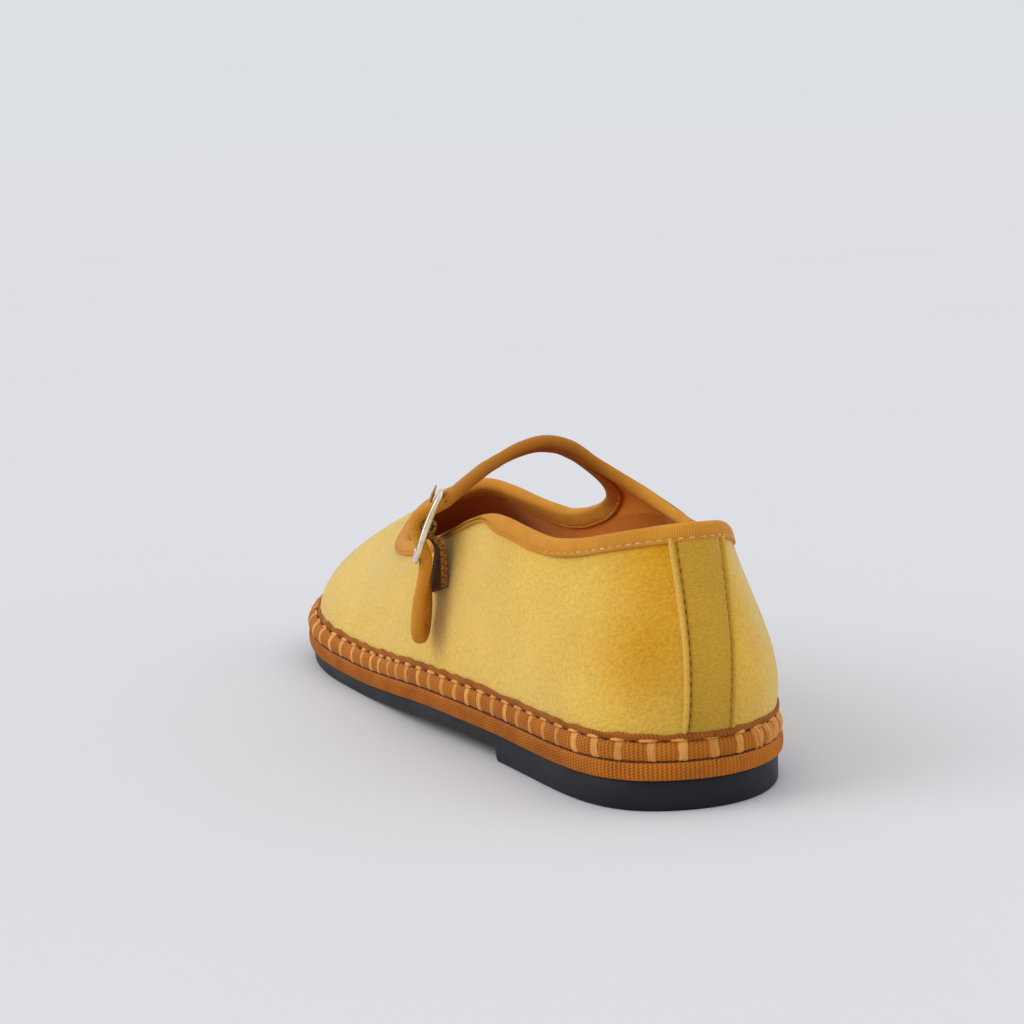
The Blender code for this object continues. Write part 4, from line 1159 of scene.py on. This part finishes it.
def make_whip_stitches(looks):
    """Raffia strips over the welt strip, each hooked sideways at its top."""
    rng = random.Random(11)
    steps, cells = 22, 9
    verts, faces, uvs, tones = [], [], [], []
    start = 0
    lean_way = np.linspace(-1, 1, cells)
    strips = [(stitch_turn(k + rng.uniform(-0.06, 0.06)), rng.uniform(-0.0007, 0.0007),
               rng.uniform(*STRIP_WIDTHS), 0.0) for k in range(WHIP_STITCHES)]
    strips += [(turn, skew, rng.uniform(*LOOSE_WIDTHS), LOOSE_RAISE)
               for turn, skew in LOOSE_STRANDS]
    for k, (turn, skew, width, raised) in enumerate(strips):
        split = rng.uniform(-0.5, 0.5)
        tone = rng.random()
        metre = 1000 / (TAPE_RIBS * RIB_PITCH)
        share = np.linspace(-0.02, 1.0, steps)
        centre = turn + skew * (share - 0.5) * metre
        swelling = 0.6 * (share - 0.45) ** 2 + 0.06 * np.sin(share * 9 + split * 6)
        wide = width * (0.82 + swelling)
        columns = centre[:, None] + lean_way * wide[:, None] / 2 * metre
        crease = -STRIP_CREASE * hump(lean_way, split, 0.14)
        lift = STRIP_CROWN * (1 - lean_way ** 4) + crease + rng.uniform(0, 0.00010) + raised
        place = welt_profile(columns, share[:, None])
        normal = unit(np.cross(np.gradient(place, axis=0), np.gradient(place, axis=1)))
        outer = place + normal * (lift - 0.00014)[:, None]
        inner = place - normal * 0.00035
        part_verts, part_faces, _ = shell(outer, inner, closed=False)
        verts.append(part_verts)
        faces += moved(part_faces, start)
        along = np.broadcast_to((share * WELT_HEIGHT * 1200)[:, None], (steps, cells))
        over = np.broadcast_to(lean_way * width * 500 + k * 7.3, (steps, cells))
        uv = np.stack([over, along], -1).reshape(-1, 2)
        uvs += [uv, uv]
        tones.append(np.full(len(part_verts), tone))
        start += len(part_verts)
    add_piece("whip_stitches", np.concatenate(verts), faces, [looks.raffia], "welt_tape",
              uv=np.concatenate(uvs), tone=np.concatenate(tones))


def groove_stitches(numbers, lengths, radius, sink, arch):
    """Stitches that lie along the groove between the welt strip and the frill."""
    turns = stitch_turn(numbers)
    inset = toe_inset(turns) * TOE_INSET
    level = MIDSOLE_TOP + WELT_HEIGHT
    place = edge_point(turns, 0.00045 - inset - sink, level + 0.0001)
    ahead = edge_point(turns + 0.002, -inset, level)
    behind = edge_point(turns - 0.002, -inset, level)
    out = np.concatenate([edge_out(turns), np.full((len(turns), 1), 0.8)], -1)
    return capsules(place, unit(ahead - behind), unit(out), lengths, radius, 0.6, arch)


def make_groove(looks):
    """Pale stitches in the groove at each whip stitch and, between them, dark capsules as painted
    shade in the needle holes.
    """
    rng = random.Random(5)
    numbers = np.arange(WHIP_STITCHES)
    shifts = np.array([rng.uniform(-0.06, 0.06) for _ in numbers])
    lengths = np.array([rng.uniform(*SADDLE_LENGTHS) for _ in numbers])
    pale = groove_stitches(numbers + 0.04 + shifts, lengths, SADDLE_RADIUS, 0.0, 0.00022)
    add_joined("welt_saddle_stitches", [pale], [looks.tan_thread], "welt_tape")
    # Painted shade: dark capsules stand in for the shade inside the needle holes.
    holes = groove_stitches(numbers + 0.52 + shifts, HOLE_LENGTH, HOLE_RADIUS, 0.00002, 0.0)
    add_joined("welt_needle_hole_shade", [holes], [looks.deep_thread], "welt_tape")


def make_seam(looks):
    """Dark waxed thread that whips the welt strip to the midsole."""
    columns = SEAM_BUMPS * 5
    turns = even_turns(columns)
    beat = np.abs(np.sin(turns * SEAM_BUMPS * math.pi))
    line = edge_point(turns, MIDSOLE_OUTSET * 0.40 + SEAM_BUMP * beat,
                      MIDSOLE_TOP - BAND_INSET - 0.00005 + 0.00010 * beat)
    angle = np.linspace(0.0, 2 * math.pi, 7)[:-1]
    out = np.concatenate([edge_out(turns), np.zeros((columns, 1))], -1)
    radius = SEAM_RADIUS + SEAM_BUMP * beat
    grid = line[None] + radius[None, :, None] * (
        out[None] * np.cos(angle)[:, None, None] + UP * np.sin(angle)[:, None, None])
    add_ring("welt_seam_thread", grid, looks.deep_thread, "welt_tape")


def make_outsole(looks):
    """Plate with its heel block, rounded edges and a sloped breast."""
    breast = SOLE_LENGTH / 2 - HEEL_LENGTH
    marks = [edge_turn(breast), edge_turn(breast - BREAST_SLOPE)]
    outer = np.linspace(0.0, 0.5, 241)[1:-1]
    clear = np.min(np.abs(outer[:, None] - marks), 1) > 0.001
    outer = np.sort(np.concatenate([outer[clear], marks]))
    places = sorted((edge_xy(mark)[1] for mark in marks), reverse=True)
    facing_marks = [edge_turn(place, outer=False) for place in places]
    inner = np.interp(outer, [0.0, *sorted(marks), 0.5], [1.0, *facing_marks, 0.5])
    ring = np.concatenate([[0.0], outer, [0.5], inner[::-1]])
    on_heel = edge_xy(ring)[:, 1] > breast - BREAST_SLOPE / 2
    profile = ((-0.0002, OUTSOLE_THICKNESS), (0.00002, OUTSOLE_THICKNESS - 0.0003),
               (0.0, OUTSOLE_EDGE_RADIUS), (-0.00012, 0.0004), (-0.00042, 0.0001), (-0.0009, 0.0))
    side = []
    for row, (outset, lift) in enumerate(profile):
        points = edge_point(ring, outset, lift)
        if row > 1:
            points[on_heel, 2] = lift
        side.append(points)
    side = np.array(side)
    count = len(ring)
    faces = quads(len(profile), count, closed_columns=True)
    index = [0] * len(faces)
    faces.append(list(range(count)))
    index.append(0)
    low = (len(profile) - 1) * count
    across = 12
    verts = [side.reshape(-1, 3)]
    made = len(profile) * count
    rungs = []
    for k in range(1, len(outer) + 1):
        a, b = side[-1, k], side[-1, count - k]
        share = np.arange(1, across)[:, None] / across
        verts.append(a + (b - a) * share)
        rungs.append([low + k] + list(range(made, made + across - 1)) + [low + count - k])
        made += across - 1
    for first, second in zip(rungs[:-1], rungs[1:]):
        for j in range(across):
            faces.append((first[j], second[j], second[j + 1], first[j + 1]))
            index.append(1)
    faces.append([low] + rungs[0])
    faces.append([low + len(outer) + 1] + rungs[-1][::-1])
    index += [1, 1]
    add_piece("rubber_sole", np.concatenate(verts), faces, [looks.rubber, looks.tread], "rubber",
              ["outsole"], index)


def make_sock(looks):
    low = MIDSOLE_TOP + WALL + 2 * GAP
    columns, rings = 320, 26
    turns = even_turns(columns)
    edge = -toe_inset(turns) * TOE_INSET - LASTED_MARGIN
    rim = [edge_point(turns, edge - 0.0001, low), edge_point(turns, edge + 0.0002, low + 0.0007),
           edge_point(turns, edge + 0.0001, low + INSOLE_THICKNESS * 0.8),
           edge_point(turns, edge - 0.0007, low + INSOLE_THICKNESS)]
    border = rim[-1]
    spine = border.copy()
    spine[:, 0] = np.interp(border[:, 1], (-0.118, -0.06, 0.0, 0.06), (-0.006, 0.0, 0.003, 0.0))
    spine[:, 1] = np.clip(border[:, 1], -0.098, 0.098)
    grid = list(rim)
    for i in range(1, rings + 1):
        share = i / rings
        ring = between(border, spine, share)
        dip = SOCK_DIP * np.sin(share * math.pi / 2)
        ring[:, 2] = underside(ring[:, 1]) + low + INSOLE_THICKNESS - dip
        grid.append(ring)
    grid = np.array(grid)
    faces = quads(len(grid), columns, closed_columns=True, flip=True)
    faces.append(list(range(columns)))
    add_piece("sock_lining", grid, faces, [looks.sock], "sock", ["insole"])


# Strap and binding


def dense_strap():
    rows = strap_rows()
    grid = upsample(upsample(rows, 5), 4, axis=1)
    return rows, grid


def make_strap(looks, grid):
    normal = grid_normals(grid, closed=False)
    crown = STRAP_CROWN * np.cos(np.linspace(-1, 1, grid.shape[1]) * math.pi / 2)
    soft = soft_noise(grid, 60.0, 9.0) * STRAP_CROWN
    outer = grid + normal * (STRAP_CLOTH / 2 + crown + soft)[..., None]
    inner = grid - normal * (STRAP_CLOTH / 2)
    verts, faces, front = shell(outer, inner, closed=False)
    index = np.ones(len(faces), int)
    index[:front] = 0
    add_piece("strap_cloth", verts, faces, [looks.velvet, looks.strap_lining], "velvet", ["strap"],
              index, tone=np.ones(len(verts)))


def rim_loop(rows):
    """Points of the edge that the tape wraps, directions into the cloth, and the tape's reach."""
    turns = np.linspace(STRAP_ROOT[1], STRAP_ROOT[0] + 1, 64) % 1.0
    points = [wall(turns, 2.0)]
    ways = [-rib_end(turns)]
    reach = [np.zeros(len(turns))]
    grow = np.minimum(1.0, np.arange(1, len(rows)) / ROOT_ROWS)
    points += [rows[1:, 0], (rows[-1:, 0] + rows[-1:, -1]) / 2, rows[:0:-1, -1]]
    tip_way = unit(rows[-4, 0] - rows[-1, 0])[None]
    settled = np.minimum(1.0, np.arange(1, len(rows)) / (ROOT_ROWS * 0.6))[:, None]
    down = -rib_end(np.array(STRAP_ROOT))
    front_way, back_way = (
        unit(between(down[end], unit(rows[1:, by] - rows[1:, end]), settled))
        for end, by in ((0, 1), (-1, -2)))
    ways += [front_way, tip_way, back_way[::-1]]
    reach += [grow, np.ones(1), grow[::-1]]
    return np.concatenate(points), np.concatenate(ways), np.concatenate(reach)


def cloth_tree(grid):
    columns = 256
    turns = even_turns(columns)
    rises = np.linspace(1.5, 2.0, 33)
    body = wall(turns[None, :], rises[:, None])
    faces = quads(len(rises), columns, closed_columns=True)
    faces += quads(grid.shape[0], grid.shape[1], start=len(rises) * columns)
    verts = np.concatenate([body.reshape(-1, 3), grid.reshape(-1, 3)])
    return BVHTree.FromPolygons([tuple(v) for v in verts], faces)


def smooth_round(values, passes):
    for _ in range(passes):
        values = (np.roll(values, 1, 0) + 2 * values + np.roll(values, -1, 0)) / 4
    return values


Frame = namedtuple("Frame", "edge way strapped depth cloth normals length")


def binding_frame(rows, grid):
    """Edge points, cloth points under the tape and their normals, in even steps round the loop."""
    points, ways, strapped = rim_loop(rows)
    fine = upsample(points, 6, closed=True)
    ways = upsample(ways, 6, closed=True)
    strapped = upsample(strapped[:, None], 6, closed=True)
    places, length = even_steps(fine, TAPE_STEP, closed=True)
    edge = read_at(fine, places, closed=True)
    way = read_at(ways, places, closed=True)
    strapped = np.clip(read_at(strapped, places, closed=True)[:, 0], 0, 1)
    ahead = unit(np.roll(edge, -1, 0) - np.roll(edge, 1, 0))
    way = unit(smooth_round(way, 3))
    way = unit(way - ahead * np.sum(way * ahead, -1, keepdims=True))
    facing = unit(np.cross(way, ahead))
    tree = cloth_tree(grid)
    depth = between(INNER_TAPE_REACH, STRAP_INNER_REACH + 0.0002, strapped)
    shares = np.linspace(0.0, 1.0, 6)
    cloth = [edge]
    normals = [facing]
    for share in shares[1:]:
        found = np.zeros_like(edge)
        normal = np.zeros_like(edge)
        for i, place in enumerate(edge + way * (depth * share)[:, None]):
            spot, _, _, _ = tree.find_nearest(Vector(place))
            total = Vector((0, 0, 0))
            for _, face_normal, _, away in tree.find_nearest_range(spot, 0.0012):
                aligned = face_normal if face_normal.dot(Vector(facing[i])) > 0 else -face_normal
                total += aligned * (0.0013 - away)
            found[i] = spot
            normal[i] = total.normalized()
        cloth.append(smooth_round(found, 1))
        normals.append(unit(smooth_round(normal, 3)))
    return Frame(edge, way, strapped, depth, np.array(cloth), np.array(normals), length)


def tape_points(base, d, h):
    """Points d into the cloth from its edge and h off its middle, inner side positive."""
    rows = np.arange(len(base.edge))
    d = np.broadcast_to(d, rows.shape)
    h = np.broadcast_to(h, rows.shape)[:, None]
    last = len(base.cloth) - 1
    share = np.clip(d / base.depth, 0.0, 1.0) * last
    low = np.clip(np.floor(share).astype(int), 0, last - 1)
    part = (share - low)[:, None]
    spot, normal = (
        between(layers[low, rows], layers[low + 1, rows], part)
        for layers in (base.cloth, base.normals))
    outside = base.edge + base.way * np.minimum(d, 0.0)[:, None]
    return np.where(d[:, None] > 0, spot, outside) + unit(normal) * h


def make_binding(looks, base):
    edge, strapped = base.edge, base.strapped
    near = between(WALL, STRAP_CLOTH, strapped) / 2 + 0.0001
    far = between(WALL / 2 + TAPE_GAP + TAPE - 0.0001, STACK, strapped)
    outer = between(COLLAR_TAPE_REACH, STRAP_TAPE_REACH, strapped) + 0.0002
    by_buckle = (edge[:, 0] > 0.015) & (strapped < 0.01)
    tucked = ramp(edge[:, 1], 0.010, 0.018) * (1 - ramp(edge[:, 1], 0.042, 0.056)) * by_buckle
    outer = outer * (1 - 0.74 * smooth_round(tucked, 4))
    inner = between(INNER_TAPE_REACH, STRAP_INNER_REACH, strapped)
    profile = []
    for reach, side in ((outer, -1), (inner, 1)):
        leg = [
            (reach, near), (reach + 0.00008, near + 0.00030), (reach - 0.00010, far - 0.00022),
            (reach - 0.00038, far - 0.00006), (reach - 0.00064, far - 0.00014),
            (reach - TAPE_STITCH_IN, far - 0.00032), (reach - 0.00104, far - 0.00012),
            (reach - 0.00135, far), (reach * 0.42, far + 0.00006), (reach * 0.2, far + 0.00004),
            (-0.00005, far * 0.97), (-0.00050, far * 0.82),
            (-0.00085, far * 0.52), (-TAPE_EDGE_ROLL, far * 0.2),
        ]
        leg = [(d, h * side) for d, h in leg]
        profile += leg if side < 0 else leg[::-1]
    profile += [(inner - 0.0002, near), (inner * 0.5, near), (0.0, near),
                (0.0, -near), (outer * 0.5, -near), (outer - 0.0002, -near)]
    grid = np.array([tape_points(base, d, h) for d, h in profile])
    shown = grid[:28]
    wrinkle = soft_noise(shown, 130.0, 4.0) * TAPE_WRINKLE
    shown += unit(shown - base.cloth[2]) * wrinkle[..., None]
    count = grid.shape[1]
    marks = np.arange(count) * base.length / count * 1000
    across = runs(grid[:, 0]) * 1000
    uv = np.stack(np.broadcast_arrays(marks, across[:, None]), -1)
    # Painted shade: the binding is darkened where the strap arches up in the air, on its shaded
    # underside.
    painted_shade_in_air = ramp(edge[:, 2], 0.058, 0.066) * strapped
    tone = np.broadcast_to(1 - 0.78 * painted_shade_in_air, grid.shape[:2])
    add_ring("binding_tape", grid, looks.binding, "binding_tape", ["collar_binding"], flip=False,
             uv=uv, tone=tone)
    parts, tones = [], []
    rng = random.Random(3)
    for reach, side in ((outer, -1), (inner, 1)):
        line = tape_points(base, reach - TAPE_STITCH_IN, side * (far - 0.00018))
        over = tape_points(base, reach - TAPE_STITCH_IN, side * (far + 0.001))
        places, _ = even_steps(line, TAPE_STITCH_PITCH, closed=True)
        places = places + np.array([rng.uniform(-0.25, 0.25) for _ in places])
        centre = read_at(line, np.clip(places, 0, count), closed=True)
        normal = unit(read_at(over, np.clip(places, 0, count), closed=True) - centre)
        tangent = unit(np.roll(centre, -1, 0) - np.roll(centre, 1, 0))
        lengths = np.array([rng.uniform(*TAPE_STITCH_LENGTHS) for _ in places])
        made = capsules(centre, tangent, normal, lengths, TAPE_STITCH_RADIUS, 0.8, STITCH_ARCH)
        if side < 0:
            shown = 0.15 + 0.75 * ramp(centre[:, 1], 0.070, 0.100)
        else:
            near_root = (centre[:, 0] < 0) * ramp(centre[:, 1], -0.004, 0.004)
            shown = 0.15 + 0.8 * near_root * (1 - ramp(centre[:, 1], 0.018, 0.026))
        parts.append(made)
        tones.append(np.repeat(shown, len(made[0]) // len(centre)))
    add_joined("binding_stitches", parts, [looks.pale_thread], "binding_tape",
               tone=np.concatenate(tones))


# Buckle


def make_buckle(looks):
    half_length = BAR_SPACING
    half_width = (BUCKLE_WIDTH - BAR_DIAMETER) / 2
    loop = []
    for quarter in range(4):
        down = (half_length - BUCKLE_CORNER) * (1 if quarter in (0, 3) else -1)
        along = (half_width - BUCKLE_CORNER) * (1 if quarter in (0, 1) else -1)
        for i in range(13):
            angle = math.pi / 2 * (quarter + i / 12)
            loop.append((down + BUCKLE_CORNER * math.cos(angle),
                         along + BUCKLE_CORNER * math.sin(angle)))
    loop = np.array(loop)
    loop = read_at(loop, even_steps(loop, 0.00045, closed=True)[0], closed=True)
    heading = unit(np.roll(loop, -1, 0) - np.roll(loop, 1, 0))
    outward = np.stack([heading[:, 1], -heading[:, 0]], -1)
    outward *= np.sign(np.sum(outward * loop, -1))[:, None]
    angle = np.linspace(0, 2 * math.pi, 24, endpoint=False)
    radial = signed_power(np.cos(angle), 0.55) * RIM_HALF_WIDTH
    thick = signed_power(np.sin(angle), 0.6) * RIM_HALF_THICKNESS
    rim = loop[None] + outward[None] * radial[:, None, None]
    bow = np.clip(1 - (loop[:, 0] / half_length) ** 2, 0, 1)[None, :]
    raised = thick[:, None] * (0.9 + 0.5 * bow) + BUCKLE_BOW * bow
    frame_grid = buckle_point(rim[..., 0], raised, rim[..., 1])
    count = frame_grid.shape[1]
    faces = quads(len(angle), count, True, True)
    width = np.linspace(-half_width, half_width, 12)
    bowed = BUCKLE_BOW * ramp(np.abs(width), 0.7 * half_width, half_width)
    bar_line = buckle_point(0.0, bowed, width)
    bar = sweep_tube(bar_line, BAR_DIAMETER / 2 * 0.92, 16, BUCKLE_OUT)
    faces += tube_faces(12, 16, start=len(angle) * count)
    verts = np.concatenate([frame_grid.reshape(-1, 3), bar.reshape(-1, 3)])
    add_piece("buckle_loop", verts, faces, [looks.metal], "buckle_metal", ["buckle_frame"])


def make_prong(looks):
    angles = PRONG_WRAP * (np.linspace(0, 1, 25) - 1)
    wrap = buckle_point(-PRONG_LIFT * np.sin(angles), PRONG_LIFT * np.cos(angles))
    run = np.linspace(0.04, 1.0, 22) * (BAR_SPACING + PRONG_TIP)
    line = np.concatenate([wrap, buckle_point(-run, np.full(22, PRONG_LIFT))])
    radii = np.full(len(line), PRONG_DIAMETER / 2)
    radii[-16:] *= np.linspace(1.0, 0.72, 16)
    radii[-3:] *= np.array([0.9, 0.7, 0.35])
    radii[:2] *= np.array([0.5, 0.85])
    grid = sweep_tube(line, radii, 14, BUCKLE_ALONG)
    add_piece("buckle_pin", grid, tube_faces(len(line), 14), [looks.pin], "buckle_metal",
              ["buckle_prong"])


def make_tab(looks):
    """Tape folded round the middle bar and stitched to the quarter, with thick woven edges."""
    turn = np.array(edge_turn(STRAP_CENTRE))
    top = rib_top(turn)[2]
    quarter = unit(wall(turn - 0.02, np.array(1.9)) - wall(turn + 0.02, np.array(1.9)))
    away = WALL / 2 + TAPE_GAP + TAB_THICKNESS
    radius = BAR_DIAMETER / 2 + GAP + TAB_THICKNESS / 2
    angles = np.linspace(TAB_MOUTH, 2 * math.pi - TAB_MOUTH, 15)
    loop = buckle_point(radius * np.cos(angles), radius * np.sin(angles))
    loop_along = np.broadcast_to(BUCKLE_ALONG, loop.shape)
    stack = []
    for i, depth in enumerate((0.25, 0.5, 0.75, 1.0)):
        rise = rise_at_height(turn, top - depth * TAB_LENGTH)
        normal = wall_normal(turn, rise)
        along = unit(between(BUCKLE_ALONG, quarter, (i + 1) / 4))
        lift = TAB_TWIST_ROOM * (1 - depth) + (0.0 if i else TAPE)
        stack.append((skin(turn, rise, np.array(away + lift)), normal, along))
    half = TAB_THICKNESS / 2
    upper = [(place + normal * half * 1.05, along) for place, normal, along in stack]
    lower = [(place - normal * half * 1.05, along) for place, normal, along in stack]
    line = np.array([p for p, _ in upper[::-1]] + list(loop) + [p for p, _ in lower])
    along = np.array([a for _, a in upper[::-1]] + list(loop_along) + [a for _, a in lower])
    line = upsample(line, 5)
    along = unit(upsample(along, 5))
    places, length = even_steps(line, TAB_STEP)
    line = read_at(line, places)
    along = unit(read_at(along, places))
    tangent = unit(np.gradient(line, axis=0))
    out = unit(np.cross(along, tangent))
    half_across = np.array([0.2, 0.6, 0.82, 0.87, 0.93, 0.985, 1.0])
    across = np.concatenate([-half_across[::-1], half_across])
    bead = np.where(np.abs(across) > 0.85, TAB_BEAD, TAB_BODY)
    bead = np.where(np.abs(across) > 0.99, 0.00012, bead)
    picot = TAB_PICOT * np.cos(np.arange(len(line)) * TAB_STEP / TAB_PICOT_PITCH * 2 * math.pi)
    over = across * TAB_WIDTH / 2 * 0.97
    over = over + picot[:, None] * np.sign(across) * (np.abs(across) > 0.9)
    front = line[:, None] + along[:, None] * over[..., None] + out[:, None] * bead[None, :, None]
    back = line[:, None] + along[:, None] * over[..., None] - out[:, None] * bead[None, :, None]
    verts, faces, _ = shell(front, back, closed=False)
    run = np.arange(len(line)) * length / (len(line) - 1) * 1000
    uv = np.stack(np.broadcast_arrays(run[:, None], across * TAB_WIDTH * 500), -1).reshape(-1, 2)
    columns = len(across)
    index = np.zeros(len(faces), int)
    for k in range(len(faces)):
        low = min(corner % columns for corner in faces[k])
        index[k] = 1 if low < 3 or low > columns - 5 else 0
    add_piece("buckle_tape", verts, faces, [looks.nap, looks.nap_edge], "tab_nap", ["buckle_tab"],
              index, uv=np.concatenate([uv, uv]))


# Stage, light and camera


def make_stage():
    """Pale paper all round the shoe, as bright as the sky that it meets far away."""
    rings, columns = 24, 48
    radius = PAPER_REACH * (np.arange(rings) / (rings - 1)) ** 3
    angle = even_turns(columns) * 2 * math.pi
    grid = np.stack(np.broadcast_arrays(
        radius[:, None] * np.cos(angle), radius[:, None] * np.sin(angle), 0.0), -1)
    verts = np.concatenate([grid[1:].reshape(-1, 3), np.zeros((1, 3))])
    faces = quads(rings - 1, columns, closed_columns=True, flip=True)
    faces += [(len(verts) - 1, j, (j + 1) % columns) for j in range(columns)]
    mesh = bpy.data.meshes.new("studio_paper")
    mesh.from_pydata(verts.tolist(), [], faces)
    mesh.materials.append(studio("studio_paper", rgb(217, 217, 220)))
    floor = bpy.data.objects.new("studio_paper", mesh)
    bpy.context.scene.collection.objects.link(floor)


def sun(name, source, strength, spread, colour):
    lamp = bpy.data.lights.new(name, "SUN")
    lamp.energy = strength
    lamp.angle = math.radians(spread)
    lamp.color = colour
    made = bpy.data.objects.new(name, lamp)
    made.rotation_euler = Vector(source).to_track_quat("Z", "Y").to_euler()
    bpy.context.scene.collection.objects.link(made)


def make_light():
    world = bpy.data.worlds.new("studio")
    bpy.context.scene.world = world
    world.use_nodes = True
    back = world.node_tree.nodes["Background"]
    back.inputs[0].default_value = (*rgb(220, 223, 228), 1.0)
    back.inputs[1].default_value = 1.0
    sun("key", (1.0, -0.15, 0.75), 0.95, 45, (1.0, 0.99, 0.96))
    sun("fill", (-1.0, 0.25, 0.7), 0.35, 60, (0.98, 0.99, 1.0))
    sun("top", (0.05, -0.25, 1.0), 0.30, 70, (1.0, 1.0, 1.0))
    bpy.context.scene.view_settings.view_transform = "Standard"


def make_camera():
    place = Vector((0.22976, 0.64518, 0.15694))
    axes = (
        Vector((-0.93994886, 0.3385148, -0.04363346)),
        Vector((-0.09150836, -0.12677839, 0.9877011)),
        Vector((0.32881966, 0.93238134, 0.15014214)),
    )
    lens = bpy.data.cameras.new("photo_view")
    lens.sensor_width = SENSOR
    lens.lens = FOCAL_PIXELS / PICTURE_PIXELS * SENSOR
    lens.clip_start = 0.01
    made = bpy.data.objects.new("photo_view", lens)
    matrix = Matrix.Identity(4)
    for column, axis in enumerate(axes):
        for row in range(3):
            matrix[row][column] = axis[row]
    matrix.translation = place
    made.matrix_world = matrix
    bpy.context.scene.collection.objects.link(made)
    bpy.context.scene.camera = made


def main():
    looks = make_looks()
    make_upper(looks)
    make_backstay(looks)
    make_band(looks)
    make_welt(looks)
    make_frill(looks)
    make_whip_stitches(looks)
    make_groove(looks)
    make_seam(looks)
    make_outsole(looks)
    make_sock(looks)
    rows, grid = dense_strap()
    make_strap(looks, grid)
    make_binding(looks, binding_frame(rows, grid))
    make_buckle(looks)
    make_prong(looks)
    make_tab(looks)
    make_stage()
    make_light()
    make_camera()


main()
